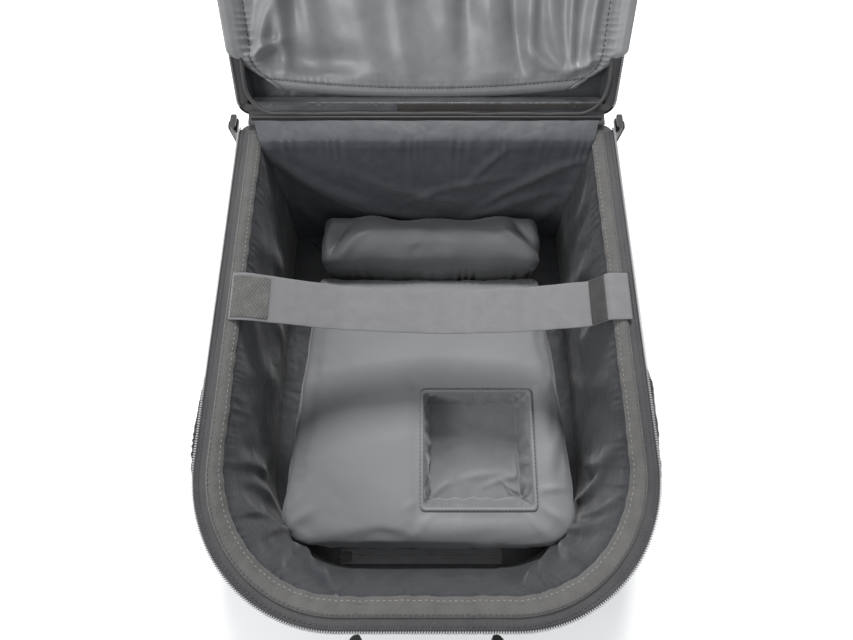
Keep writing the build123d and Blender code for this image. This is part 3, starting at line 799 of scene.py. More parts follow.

# The floor zipper's coil and tape are much lighter copies of the rim zipper's finishes: painted light,
# standing in for light that the pad's front edge shades off.
floor_coil_painted_light = plastic("floor_coil_painted_light", (0.40, 0.40, 0.41), (0.60, 0.60, 0.61), 0.35, 900.0)
floor_zip_painted_light = cloth("floor_zip_painted_light", (0.200, 0.200, 0.206), (0.300, 0.300, 0.308), 0.75, 1300, 700,
                        0.00016,
                        90.0, 0.0003, 0.25, 0.3)
floor_tape.data.materials[0] = floor_zip_painted_light
small_pitch = 0.0014
tooth_x = np.arange(zip_x[0], zip_x[-1], small_pitch)
centres = np.stack([tooth_x, np.full_like(tooth_x, floor_zip_mid.y), np.full_like(tooth_x, lift + 0.0012)], 1)
ahead = np.tile((1.0, 0.2, 0.0), (len(tooth_x), 1))
sideways = np.tile((0.0, 1.0, 0.0), (len(tooth_x), 1))
floor_coil = strewn("floor_coil", bead_shape(0.0010, 0.0028, 0.0020), centres, ahead, sideways, floor_coil_painted_light)
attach(floor_coil, "base")
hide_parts("floor_zipper_coil")

# ---------------------------------------------------------------- floor pad
# A loose foam pad in pale satin, cut to the floor, with a square opening sewn into it. Its cover
# is turned and stuffed, so the top is crowned, the edges are round and the corners draw in.


def swollen(name, source, voxel, shrink, pressure, cap, held, material):
    """Stuffed copy of a CAD solid: remeshed, drawn in by shrink, then blown up as cloth.

    held(points) is 1 where the cover is sewn or rests, 0 where it is free. No point moves
    further than cap.
    """
    mesh = nodes[source].data.copy()
    weld = bmesh.new()
    weld.from_mesh(mesh)
    bmesh.ops.remove_doubles(weld, verts=weld.verts, dist=1e-5)
    weld.to_mesh(mesh)
    weld.free()
    solid = bpy.data.objects.new(name + "_solid", mesh)
    bpy.context.scene.collection.objects.link(solid)
    remesh = solid.modifiers.new("remesh", "REMESH")
    remesh.mode = "VOXEL"
    remesh.voxel_size = voxel
    graph = bpy.context.evaluated_depsgraph_get()
    skin = bpy.data.meshes.new_from_object(solid.evaluated_get(graph))
    bpy.data.objects.remove(solid)
    skin.name = name
    piece = bpy.data.objects.new(name, skin)
    bpy.context.scene.collection.objects.link(piece)
    start = vertices(skin)
    start -= shrink * vertex_normals(skin)
    set_vertices(skin, start)
    group = piece.vertex_groups.new(name="held")
    share = held(start)
    for level in range(11):
        chosen = np.nonzero(np.round(share * 10) == level)[0]
        if level and len(chosen):
            group.add(chosen.tolist(), level / 10, "REPLACE")
    cover = piece.modifiers.new("cover", "CLOTH")
    cover.settings.quality = 5
    cover.settings.mass = 0.3
    cover.settings.tension_stiffness = 12
    cover.settings.compression_stiffness = 12
    cover.settings.shear_stiffness = 4
    cover.settings.bending_stiffness = 0.4
    cover.settings.use_pressure = True
    cover.settings.uniform_pressure_force = pressure
    cover.settings.vertex_group_mass = "held"
    cover.settings.pin_stiffness = 4
    cover.settings.effector_weights.gravity = 0
    cover.point_cache.frame_start = 1
    cover.point_cache.frame_end = 20
    for step in range(1, 21):
        bpy.context.scene.frame_set(step)
    graph = bpy.context.evaluated_depsgraph_get()
    blown = piece.evaluated_get(graph)
    moved = vertices(blown.data) - start
    piece.modifiers.remove(cover)
    far = np.linalg.norm(moved, axis=1, keepdims=True)
    moved *= cap * np.tanh(far / cap) / np.maximum(far, 1e-9)
    set_vertices(skin, start + moved * (1 - share[:, None]))
    bpy.context.scene.frame_set(1)
    finer = piece.modifiers.new("finer", "SUBSURF")
    finer.levels = 1
    finer.render_levels = 1
    graph = bpy.context.evaluated_depsgraph_get()
    dense = bpy.data.meshes.new_from_object(piece.evaluated_get(graph))
    piece.modifiers.clear()
    piece.data = dense
    piece.vertex_groups.clear()
    dense.materials.clear()
    dense.materials.append(material)
    dense.polygons.foreach_set("use_smooth", np.ones(len(dense.polygons), bool))
    return piece


def vertices(mesh):
    """Vertex places of a mesh as an array of three columns."""
    place = np.zeros(len(mesh.vertices) * 3)
    mesh.vertices.foreach_get("co", place)
    return place.reshape(-1, 3)


def vertex_normals(mesh):
    """Outward vertex normals of a mesh as an array of three columns."""
    direction = np.zeros(len(mesh.vertices) * 3)
    mesh.vertex_normals.foreach_get("vector", direction)
    return direction.reshape(-1, 3)


def set_vertices(mesh, place):
    """Write vertex places back into a mesh."""
    mesh.vertices.foreach_set("co", place.ravel())
    mesh.update()


def pushed(piece, amount):
    """Move every point along its normal by amount(points, normals), for creases and seams."""
    place = vertices(piece.data)
    direction = vertex_normals(piece.data)
    set_vertices(piece.data, place + amount(place, direction)[:, None] * direction)


pad_low, pad_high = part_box("floor_pad")
tray_low, tray_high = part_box("recess_lining")
tray_mid = (tray_low + tray_high) / 2
tray_half_x = (tray_high.x - tray_low.x) / 2
tray_half_y = (tray_high.y - tray_low.y) / 2
pad_satin = cloth("pad_satin", (0.150, 0.152, 0.158), (0.205, 0.208, 0.216), 0.58, 2400, 2400, 0.00003, 26.0,
                  0.0006, 0.20, 0.12, specular=0.35)


def from_tray(points):
    """Distance outside the opening's edge, negative inside it."""
    off_x = np.abs(points[:, 0] - tray_mid.x) - tray_half_x
    off_y = np.abs(points[:, 1] - tray_mid.y) - tray_half_y
    return np.maximum(off_x, off_y)


def pad_held(points):
    """Sewn round the opening, and resting on its bottom."""
    sewn = 1 - ramp(from_tray(points), 0.003, 0.010)
    rests = 1 - ramp(points[:, 2], pad_low.z + 0.004, pad_low.z + 0.010)
    return np.maximum(sewn, rests)


pad_shrink = 0.0006
floor_pad = swollen("floor_pad_cover", "floor_pad", 0.0036, pad_shrink, 2.5, 0.0024, pad_held, pad_satin)
pad_creases = [
    # middle x, middle y, direction, half width, half length, depth
    (0.108, -0.108, 8, 0.0035, 0.016, 0.0016), (0.116, -0.070, 62, 0.0060, 0.022, 0.0013),
    (0.108, -0.128, 155, 0.0040, 0.018, 0.0013), (0.104, -0.046, 100, 0.0060, 0.030, 0.0010),
    (0.094, -0.137, 128, 0.0035, 0.014, 0.0012), (0.000, -0.134, 52, 0.0030, 0.012, 0.0007),
    (-0.010, -0.120, 20, 0.0030, 0.014, 0.0006), (0.030, -0.140, 96, 0.0035, 0.014, 0.0005),
    (0.105, -0.018, 30, 0.0060, 0.022, 0.0010), (-0.118, -0.138, 44, 0.0050, 0.018, 0.0012),
    (-0.122, -0.126, 62, 0.0040, 0.014, 0.0009), (0.122, -0.140, 138, 0.0050, 0.018, 0.0014)]


def pad_relief(points, normals):
    """Crown and creases of the top, gathers where the cover turns under, and wavy sides."""
    top = ramp(normals[:, 2], 0.5, 0.9) * ramp(from_tray(points), 0.002, 0.010)
    relief = folds(points[:, 0], points[:, 1], pad_creases)
    relief = relief + 0.0006 * ripple(points[:, 0], points[:, 1], ((0.11, 1.0), (0.05, 0.5)), 55)
    side = 1 - ramp(np.abs(normals[:, 2]), 0.3, 0.8)
    around = points[:, 0] + 0.6 * points[:, 1]
    waves = 0.0008 * ripple(around, points[:, 2], ((0.028, 1.0), (0.013, 0.6)), 56)
    back_gather = 0.0013 * tucks(points[:, 0], 0.0080, 57) * ramp(points[:, 1], pad_high.y - 0.016,
        pad_high.y)
    return top * (relief + back_gather) + side * waves


pushed(floor_pad, pad_relief)
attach(floor_pad, "insert")
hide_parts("floor_pad")

# ---------------------------------------------------------------- opening in the pad
# A satin tray hangs in the opening, a little longer than the hole is deep, so its walls crease
# and pull into the corners. Its hem is turned over the edge and top-stitched.
tray_depth = tray_high.z - tray_low.z
tray_taper = math.tan(math.radians(8.0)) * tray_depth
pad_top = pad_high.z
hem = 0.0034


def tray_ring(count, half_x, half_y, soft):
    """Rounded rectangle as unit places (x, y) round the opening, evenly spaced by angle of run."""
    legs = np.array([[1, -1], [1, 1], [-1, 1], [-1, -1], [1, -1]], float)
    step = np.linspace(0, 4, count, endpoint=False)
    leg = step.astype(int)
    share = (step - leg)[:, None]
    square = legs[leg] * (1 - share) + legs[leg + 1] * share
    ring = square * [half_x, half_y]
    inner = np.clip(ring, [-half_x + soft, -half_y + soft], [half_x - soft, half_y - soft])
    away = ring - inner
    length = np.linalg.norm(away, axis=1, keepdims=True)
    return inner + away / np.maximum(length, 1e-9) * np.minimum(length, soft), step


ring_count = 420
ring, ring_step = tray_ring(ring_count, 1.0, 1.0, 0.08)
wall_levels = np.linspace(0, 1, 30)
floor_levels = np.linspace(0, 1, 34)[1:]
offsets = []
heights = []
for out, rise in ((hem, pad_top - 0.0004), (hem - 0.0004, pad_top + 0.0003), (hem * 0.6, pad_top + 0.0006),
                  (0.0010, pad_top + 0.0007), (0.0002, pad_top + 0.0002)):
    offsets.append(out)
    heights.append(rise)
for level in wall_levels:
    offsets.append(-0.0004 - tray_taper * level)
    heights.append(pad_top - 0.0010 - (tray_depth - 0.0030) * level)
offsets = np.array(offsets)
heights = np.array(heights)
tray_u = ring_step[:, None] / 4 * 2 * (tray_half_x + tray_half_y) * 2
tray_v = np.clip(pad_top - heights, 0, None)[None, :]
half = np.array([tray_half_x, tray_half_y])
wall_xy = ring[:, None, :] * (half[None, None, :] + offsets[None, :, None])
pull = np.minimum(ring_step % 1, 1 - ring_step % 1)[:, None]
wall_share = ramp(tray_v, 0.001, 0.008) * np.ones_like(tray_u)
creases_on_wall = (
    0.0017 * ripple(tray_u, tray_v * 0.35, ((0.034, 1.0), (0.017, 0.7)), 61)
    + 0.0016 * np.exp(-(pull / 0.10) ** 2) * np.sin(2 * math.pi * (tray_v / 0.016 + pull * 6))
    + 0.0007 * tucks(tray_u, 0.0060, 62) * np.exp(-tray_v / 0.010))
outward_xy = ring / np.maximum(np.abs(ring).max(1, keepdims=True), 1e-9)
inward_only = np.minimum(creases_on_wall, 0.0012)
wall_xy = wall_xy + outward_xy[:, None, :] * (inward_only * wall_share - 0.0006 * wall_share)[..., None]
wall_points = np.concatenate([wall_xy, np.broadcast_to(heights[None, :, None], wall_xy.shape[:2] + (1,))], -1)
floor_edge = wall_points[:, -1]
shrinking = (1 - floor_levels)[None, :, None]
floor_xy = floor_edge[:, None, :2] * np.maximum(shrinking, 0.01)
floor_bumps = folds(floor_xy[..., 0], floor_xy[..., 1], [
    (0.036, -0.036, 152, 0.0022, 0.013, 0.0022), (0.030, -0.026, 12, 0.0030, 0.022, 0.0016),
    (0.014, -0.022, 4, 0.0040, 0.030, 0.0014), (0.040, -0.018, 100, 0.0022, 0.012, 0.0014),
    (-0.020, 0.010, 24, 0.0060, 0.030, 0.0008), (0.006, 0.016, 160, 0.0060, 0.034, 0.0007),
    (0.033, -0.040, 120, 0.0018, 0.008, 0.0016), (-0.034, -0.036, 40, 0.0030, 0.012, 0.0010)])
floor_z = floor_edge[:, None, 2] + floor_bumps * ramp(floor_levels, 0.0, 0.10)[None, :]
floor_points = np.concatenate([floor_xy, floor_z[..., None]], -1)
tray_points = np.concatenate([wall_points, floor_points], 1)
tray_points[..., 0] += tray_mid.x
tray_points[..., 1] += tray_mid.y
tray_piece = sheet_mesh("opening_tray", tray_points, pad_satin, around=True, closed_end=True)
flat_uv(tray_piece)
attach(tray_piece, "insert")
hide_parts("recess_lining")

hem_thread = plastic("hem_thread", (0.025, 0.025, 0.027), (0.05, 0.05, 0.055), 0.6, 900.0)
hem_steps = np.arange(0, 4, 0.0034 / (tray_half_x + tray_half_y))
hem_ring = np.stack([np.interp(hem_steps, np.append(ring_step, 4.0), np.append(ring[:, axis], ring[0, axis]))
                     for axis in (0, 1)], 1)
hem_places = hem_ring * (half + hem * 0.72)
hem_ahead = np.roll(hem_places, -1, 0) - np.roll(hem_places, 1, 0)
hem_centres = np.concatenate([hem_places + [tray_mid.x, tray_mid.y],
                              np.full((len(hem_steps), 1), pad_top + 0.0006)], 1)
hem_ahead = np.concatenate([hem_ahead, np.zeros((len(hem_steps), 1))], 1)
hem_across = np.stack([-hem_ahead[:, 1], hem_ahead[:, 0], 0 * hem_ahead[:, 0]], 1)
hem_stitches = strewn("hem_stitches", bead_shape(0.0024, 0.0006, 0.0005), hem_centres, hem_ahead, hem_across,
                      hem_thread)
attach(hem_stitches, "insert")

# ---------------------------------------------------------------- bolster
# A second, taller foam block in the same satin cover, sewn to the back of the pad; its satin is coloured
# darker than the pad's, as painted shade for the lid's shadow. Its cover is slack at the ends, where it folds
# in, and it is gathered along the seam with the pad.
roll_low, roll_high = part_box("bolster")
roll_mid = (roll_low + roll_high) / 2


def bolster_held(points):
    """Rests on its bottom and is sewn along the low front edge."""
    return 1 - ramp(points[:, 2], roll_low.z + 0.010, roll_low.z + 0.026)


bolster_shaded_satin = cloth("bolster_shaded_satin", (0.080, 0.082, 0.086), (0.116, 0.118, 0.123), 0.48, 2400, 2400,
                      0.00003, 26.0,
                      0.0008, 0.20, 0.12, specular=0.45)
bolster = swollen("bolster_cover", "bolster", 0.0036, 0.0010, 3.0, 0.0036, bolster_held, bolster_shaded_satin)


def bolster_relief(points, normals):
    """Folded-in ends, scalloped back edge, gathers low on the front, and soft dents."""
    across = points[:, 0] - roll_mid.x
    depth = points[:, 1] - roll_mid.y
    rise = points[:, 2] - roll_low.z
    slant = folds(across, depth - 0.2 * (rise - 0.06), [
        (-0.088, 0.000, 58, 0.0050, 0.022, -0.0058), (-0.076, -0.010, 44, 0.0050, 0.016, 0.0024),
        (-0.098, 0.006, 64, 0.0040, 0.018, 0.0026), (0.092, -0.002, 128, 0.0042, 0.018, -0.0048),
        (0.082, -0.006, 140, 0.0046, 0.016, 0.0022), (0.100, 0.004, 112, 0.0040, 0.014, 0.0022)])
    scallop = 0.0018 * np.sin(2 * math.pi * across / 0.062 + 1.1) * ramp(depth, 0.004, 0.026)
    gather = 0.0022 * tucks(across, 0.0125, 71) * (1 - ramp(rise, 0.036, 0.062)) * ramp(-depth, 0.0, 0.02)
    dents = 0.0011 * ripple(across, depth + rise, ((0.09, 1.0), (0.04, 0.6)), 72)
    return slant * ramp(normals[:, 2], -0.2, 0.4) + scallop - gather + dents


pushed(bolster, bolster_relief)
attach(bolster, "insert")
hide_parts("bolster")

# ---------------------------------------------------------------- strap
# Flat woven webbing across the case. Its right end is sewn under the tape, and a hook patch at
# its left end grips the loop band.


def rounded_path(corners, radii, step):
    """Even points (n, 2) along straight runs whose corners are arcs of the given radii."""
    corners = np.asarray(corners, float)
    pieces = [corners[:1]]
    for number in range(1, len(corners) - 1):
        before, here, after = corners[number - 1:number + 2]
        first = (before - here) / np.linalg.norm(before - here)
        second = (after - here) / np.linalg.norm(after - here)
        between = math.acos(np.clip(first @ second, -1, 1))
        cut = radii[number - 1] / math.tan(between / 2)
        middle = first + second
        centre = here + middle / np.linalg.norm(middle) * radii[number - 1] / math.sin(between / 2)
        start, end = here + first * cut - centre, here + second * cut - centre
        share = np.linspace(0, 1, 24)[:, None]
        sweep = math.pi - between
        arc = (np.sin((1 - share) * sweep) * start + np.sin(share * sweep) * end) / math.sin(sweep)
        pieces.append(centre + arc)
    pieces.append(corners[-1:])
    line = np.concatenate(pieces)
    length = np.concatenate([[0], np.cumsum(np.linalg.norm(np.diff(line, axis=0), axis=1))])
    at = np.linspace(0, length[-1], int(length[-1] / step))
    return np.stack([np.interp(at, length, line[:, 0]), np.interp(at, length, line[:, 1])], 1)


strap_low, strap_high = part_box("strap")
strap_thick = 0.0014
strap_half = (strap_high.y - strap_low.y) / 2
strap_mid_y = (strap_high.y + strap_low.y) / 2
strap_path = rounded_path(
    [(-0.154, 0.1578), (-0.143, 0.1578), (-0.072, 0.1278), (0.010, 0.1148), (0.084, 0.1238), (0.134, 0.1388),
     (0.1445, 0.1578), (0.1600, 0.1580)], (0.024, 0.130, 0.170, 0.090, 0.006, 0.005), 0.0016)


def blunt(wave, power):
    """A sine or cosine flattened towards a square wave, for sections with flat sides."""
    return np.sign(wave) * np.abs(wave) ** power


def ribbon(path, half_width, thick, middle_y, wander=0.0):
    """Closed flat section carried along a path in the x-z plane, thickness to the upper side."""
    ahead = np.gradient(path, axis=0)
    ahead /= np.linalg.norm(ahead, axis=1, keepdims=True)
    up = np.stack([-ahead[:, 1], ahead[:, 0]], 1)
    angle = np.linspace(0, 2 * math.pi, 28, endpoint=False)
    flat_across = blunt(np.cos(angle), 0.28)
    flat_up = 0.5 + 0.5 * blunt(np.sin(angle), 0.5)
    length = np.arange(len(path))[:, None] * 0.0016
    edge = wander * ripple(length, 0.0, ((0.05, 1.0), (0.02, 0.5)), 81)
    points = np.zeros((len(path), len(angle), 3))
    points[..., 0] = path[:, 0:1] + up[:, 0:1] * thick * flat_up
    points[..., 1] = middle_y + (half_width + edge) * flat_across
    points[..., 2] = path[:, 1:2] + up[:, 1:2] * thick * flat_up
    return points


webbing = cloth("webbing", (0.115, 0.115, 0.118), (0.165, 0.165, 0.169), 0.85, 1300, 900, 0.00022, 60.0,
                0.0003,
                0.25, 0.15)
strap_skin = sheet_mesh("strap_webbing", ribbon(strap_path, strap_half, strap_thick, strap_mid_y, 0.0003),
                        webbing,
                        tube=True, capped=True)
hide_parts("strap")

patch_low, patch_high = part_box("strap_hook_patch")
hook_tape = cloth("hook_tape", (0.045, 0.045, 0.044), (0.180, 0.180, 0.172), 0.8, 900, 520, 0.0005, 60.0,
                  0.0002,
                  0.1, 0.6)
patch_half = strap_half - 0.0022
patch_u = np.linspace(patch_low.x + 0.0012, patch_high.x, 60)
patch_line = np.stack([patch_u, np.interp(patch_u, strap_path[:, 0], strap_path[:, 1]) + strap_thick
                       - 0.0002], 1)
hook_patch = sheet_mesh("hook_patch", ribbon(patch_line, patch_half, 0.0013, strap_mid_y), hook_tape,
                        tube=True,
                        capped=True)
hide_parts("strap_hook_patch")
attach(hook_patch, "strap")
# The hooks themselves: short bent bristles in close rows.
bristle_x, bristle_y = np.meshgrid(np.arange(patch_u[2], patch_u[-2], 0.0011),
                                   np.arange(-patch_half + 0.0012, patch_half - 0.0010, 0.0014),
                                   indexing="ij")
bristle_x, bristle_y = bristle_x.ravel(), bristle_y.ravel()
jitter = np.random.default_rng(5).uniform(-0.0002, 0.0002, (2, len(bristle_x)))
bristle_z = np.interp(bristle_x, patch_line[:, 0], patch_line[:, 1]) + 0.0016
bristles = strewn("hook_bristles", bead_shape(0.0005, 0.0012, 0.0011, 4, 1),
                  np.stack([bristle_x + jitter[0], strap_mid_y + bristle_y + jitter[1], bristle_z], 1),
                  np.tile((1.0, 0.0, 0.0), (len(bristle_x), 1)),
                  np.tile((0.0, 1.0, 0.0), (len(bristle_x), 1)),
                  hook_tape)
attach(bristles, "strap")
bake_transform(strap_skin)

# A dark sheet lies on the strap's steep drop beside the right wall: painted shade, standing in for the
# shading where the strap turns steeply down.
inner_line = strap_path[(strap_path[:, 0] > 0.1350) & (strap_path[:, 0] < 0.1440)]
inner_ahead = np.gradient(inner_line, axis=0)
inner_ahead /= np.linalg.norm(inner_ahead, axis=1, keepdims=True)
inner_line = inner_line + np.stack([-inner_ahead[:, 1], inner_ahead[:, 0]], 1) * (strap_thick - 0.0003)
strap_shade_finish = cloth("strap_shade_paint", (0.014, 0.014, 0.014), (0.060, 0.060, 0.058), 0.85, 900, 520, 0.0005,
                   60.0,
                   0.0002, 0.1, 0.3)
painted_shade_sheet = sheet_mesh("strap_painted_shade_sheet", ribbon(inner_line, strap_half - 0.0006, 0.0009, strap_mid_y),
                         strap_shade_finish, tube=True, capped=True)
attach(painted_shade_sheet, "strap")

# ---------------------------------------------------------------- sliders and pulls
# Painted die-cast sliders stand at the hinge ends of the zipper, each with a flat pull that
# hangs down outside. A small slider waits at the end of the floor zipper.
slider_paint = plastic("slider_paint", (0.012, 0.012, 0.013), (0.026, 0.026, 0.027), 0.42, 1400.0, 0.00002,
                       0.3, 0.2)
dressed(slider_paint, "slider_left", "slider_right", "pull_left", "pull_right", "floor_zipper_slider")

# ---------------------------------------------------------------- side pockets
# Flat nylon pockets on the long sides, boxed out a little at the bottom and drawn in at the
# mouth by a bound elastic edge.


def side_pocket(side, node, binding_node):
    """Pocket sheet and bound edge for one side: +1 right, -1 left."""
    low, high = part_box(node)
    edge_low, edge_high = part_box(binding_node)
    along = np.linspace(-1, 1, 150)
    rise = np.linspace(0, 1, 60)
    y = (low.y + high.y) / 2 + along[:, None] * (high.y - low.y) / 2 + 0 * rise
    z = low.z + 0.001 + rise[None, :] * (edge_low.z - low.z) + 0 * along[:, None]
    wall_x = np.interp(y[:, 0], *wall_line)[:, None]
    bulge = max(abs(low.x), abs(high.x)) - wall_x
    shape = (1 - np.abs(along[:, None]) ** 3.2) ** 0.8 * (1 - np.abs(2 * rise[None, :] - 1) ** 4 * np.where(
        rise[None, :] < 0.5, 1.0, 0.45))
    puckers = 0.0011 * tucks(y, 0.0085, 90 + side) * np.exp(-(1 - rise[None, :]) * 5)
    wave = 0.0012 * ripple(y, z, ((0.07, 1.0), (0.03, 0.6)), 95 + side)
    x = wall_x - 0.0004 + (bulge - 0.0006) * shape + (wave + puckers) * np.minimum(shape * 3, 1)
    pocket = sheet_mesh("pocket_" + ("right" if side > 0 else "left"), np.stack([side * x, y, z], -1),
                        coated_nylon,
                        inward=side < 0)
    wall = pocket.modifiers.new("wall", "SOLIDIFY")
    wall.thickness = 0.0008
    wall.offset = -1
    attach(pocket, "base")
    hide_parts(node)
    edge_angle = np.linspace(0, 2 * math.pi, 12, endpoint=False)
    rim_x = x[:, -1]
    centre_z = (edge_low.z + edge_high.z) / 2 - 0.0008
    gathers = 1 + 0.16 * tucks(y[:, :1], 0.0045, 97 + side)
    edge = np.zeros((len(along), 12, 3))
    edge[..., 0] = side * (rim_x[:, None] + 0.0013 * gathers * np.cos(edge_angle))
    edge[..., 1] = y[:, :1]
    edge[..., 2] = centre_z + 0.0036 * blunt(np.sin(edge_angle), 0.7)
    bound = sheet_mesh("pocket_edge_" + ("right" if side > 0 else "left"), edge, binding_tape, tube=True,
                       inward=side > 0, capped=True)
    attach(bound, "base")
    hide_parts(binding_node)


binding_tape = cloth("binding_tape", (0.026, 0.026, 0.027), (0.060, 0.060, 0.062), 0.7, 1100, 420, 0.00022,
                     80.0,
                     0.0002, 0.2, 0.4)
edge_places, edge_normals = case_edge(np.linspace(0, half_edge, 800))
side_part = np.abs(edge_normals[:, 0]) > 0.2
wall_line = (edge_places[side_part, 1], edge_places[side_part, 0])
side_pocket(1, "side_pocket_right", "pocket_binding_right")
side_pocket(-1, "side_pocket_left", "pocket_binding_left")

# ---------------------------------------------------------------- carry handle
# Rounded webbing handle with a moulded grip, looped through two stitched tabs on the front.
handle_web = cloth("handle_webbing", (0.030, 0.030, 0.031), (0.075, 0.075, 0.078), 0.8, 700, 700, 0.0004,
                   60.0,
                   0.0003, 0.25, 0.4)
grip_rubber = plastic("grip_rubber", (0.018, 0.018, 0.019), (0.034, 0.034, 0.035), 0.55, 700.0, 0.00008)
dressed(handle_web, "carry_handle", "handle_tabs")
dressed(grip_rubber, "handle_grip")

# ---------------------------------------------------------------- lid: outer shell
# The lid has the base's outline. Coated nylon over foam forms its low wall and its padded top,
# joined by a corded seam.
hinge_y, hinge_z = 0.2015, 0.1608
opened = math.radians(134.0)


def lid_place(points):
    """Closed-lid coordinates (x, y, height over the hinge line) turned back to the open lid."""
    turned = points.copy()
    away = points[..., 1] - hinge_y
    turned[..., 1] = hinge_y + away * math.cos(opened) + points[..., 2] * math.sin(opened)
    turned[..., 2] = hinge_z - away * math.sin(opened) + points[..., 2] * math.cos(opened)
    return turned


lid_floor = 0.0054
lid_shoulder = 0.0380
up = np.linspace(0, 1, 20)
run = full_loop(420)
bow = np.sin(math.pi * up) ** 0.6
waves = ripple(run[:, None], up[None, :] * lid_shoulder, ((0.10, 1.0), (0.04, 0.5)), 111)
tuck_in = ramp(up, 0.90, 1.0) * 0.0006
lid_band = sheet_mesh("lid_band", lid_place(carried(
    run, tuck_in[None, :] - bow[None, :] * (0.0013 + 0.0008 * waves),
    lid_floor - 0.0004 + up[None, :] * (lid_shoulder - lid_floor) + 0 * waves)), coated_nylon, around=True)
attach(lid_band, "lid")
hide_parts("lid_gusset")

lid_crown = 0.0055


def lid_swell(x, y, share):
    """Padded top: flat crown that drops steeply to the seam, with soft dents."""
    dents = 0.0016 * ripple(x, y, ((0.16, 1.0), (0.06, 0.5)), 115)
    return lid_shoulder + 0.0004 + (lid_crown + dents) * (1 - share ** 7) ** 0.7


lid_top = sheet_mesh("lid_top", lid_place(filled(300, 0.0004, lid_swell, 44, 0.6)), coated_nylon, around=True,
                     closed_end=True)
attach(lid_top, "lid")
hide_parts("lid_top_cover")

# ---------------------------------------------------------------- lid: zipper
# The other half of the zipper: the same tape and coil, facing the base when the lid is closed.
lid_tape_inset, lid_tape_height = strip_profile(
    [(0.0004, 0.0056), (0.0006, 0.0046), (0.0016, 0.0042), (0.0060, 0.0043), (0.0100, 0.0052)], 12)
lid_tape = sheet_mesh("lid_tape", lid_place(carried(
    zip_run, softened(lid_tape_inset)[None, :] + 0 * tape_wave,
    softened(lid_tape_height)[None, :] + tape_wave)),
    zipper_weave, inward=True)
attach(lid_tape, "lid")
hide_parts("lid_zipper_tape")
centre, forward, outward = along_edge(tooth_run, coil_inset, 0.0026)


def lid_turn(directions):
    """Directions in the closed lid's frame turned to the open lid."""
    turned = directions.copy()
    turned[:, 1] = directions[:, 1] * math.cos(opened) + directions[:, 2] * math.sin(opened)
    turned[:, 2] = -directions[:, 1] * math.sin(opened) + directions[:, 2] * math.cos(opened)
    return turned


lid_coil = strewn("lid_coil", tooth, lid_place(centre), lid_turn(forward + 0.25 * outward), lid_turn(outward),
                  coil_nylon)
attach(lid_coil, "lid")
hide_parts("lid_zipper_coil")

# ---------------------------------------------------------------- lid: lining
# Satin lines the lid's wall and the board behind the pocket. It is gathered a little where it
# meets the bound edge.
lid_run = full_loop(760)
ring_inset = 0.0096
face_height = 0.0257
wall_part = np.linspace(0, 1, 26)
lid_gather = 0.0013 * tucks(lid_run[:, None], 0.0105, 121) * np.exp(-wall_part[None, :] * 3.5)
lid_wave = 0.0007 * ripple(lid_run[:, None], wall_part[None, :] * 0.02, ((0.07, 1.0), (0.03, 0.6)), 123)
lid_ring = carried(lid_run, ring_inset + 0.0002 + (lid_gather + lid_wave) * np.sin(math.pi * np.clip(
    wall_part * 0.9 + 0.1, 0, 1))[None, :], 0.0086 + wall_part[None, :] * (face_height - 0.0086) + 0
    * lid_wave)
lid_wall = sheet_mesh("lid_wall_satin", lid_place(lid_ring), dark_satin, around=True, inward=True)
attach(lid_wall, "lid")
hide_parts("lid_lining")
lid_face = sheet_mesh("lid_face_satin", lid_place(filled(
    260, ring_inset, lambda x, y, share: face_height - 0.0004 - 0.0012 * (1 - share ** 6) * (
        1 + ripple(x, y, ((0.11, 1.0), (0.05, 0.5)), 125)) / 2, 30)), dark_satin, around=True,
        closed_end=True,
    inward=True)
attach(lid_face, "lid")

# ---------------------------------------------------------------- lid: pocket
# A full-width satin pocket covers the inside of the lid. Its panel is far too full for the lid:
# it hangs in long soft folds, is gathered along its side seams, and swells out over the zipper
# along the sides. A bowed seam with a roll below it closes it near the hinge.
mouth_y = -0.150
panel_height = 0.0140
back_edge_y = 0.1885
edge_bow = 0.0095
panel_rows = np.concatenate([np.linspace(mouth_y, 0.100, 120), np.linspace(0.100, back_edge_y, 150)[1:]])
panel_cols = np.sin(np.linspace(-1, 1, 260) * math.pi / 2)
edge_run = np.linspace(0, hinge_corner, 900)
edge_place, edge_normal = case_edge(edge_run)


def half_width_at(y, inset):
    """Half width of the outline, drawn in by inset, at each y."""
    inner = edge_place - np.asarray(inset).reshape(-1, 1) * edge_normal
    return np.interp(y, inner[:, 1], inner[:, 0])


plain_half = half_width_at(panel_rows, 0.0108)
over_half = half_width_at(panel_rows, -0.0010)
right_over = 0.0012
swell_share = ramp(panel_rows, -0.030, 0.050) * (1 - ramp(panel_rows, 0.155, 0.178))
corner_cut = 0.020 * ramp(panel_rows, 0.166, back_edge_y) ** 1.6
panel_half = plain_half + (over_half - plain_half) * swell_share - corner_cut
panel_x = panel_half[:, None] * panel_cols[None, :]
panel_x = panel_x + right_over * swell_share[:, None] * ramp(panel_cols, 0.80, 1.0)[None, :]
panel_y = np.broadcast_to(panel_rows[:, None], panel_x.shape).copy()
to_side = panel_half[:, None] * (1 - np.abs(panel_cols[None, :]))
seam_x = 0.0175 * swell_share + 0.0085 * (1 - swell_share)
panel_y = panel_y - edge_bow * (panel_x / 0.150) ** 2 * ramp(panel_rows, 0.120, back_edge_y)[:, None]
bottom_gap = back_edge_y - panel_rows[:, None]
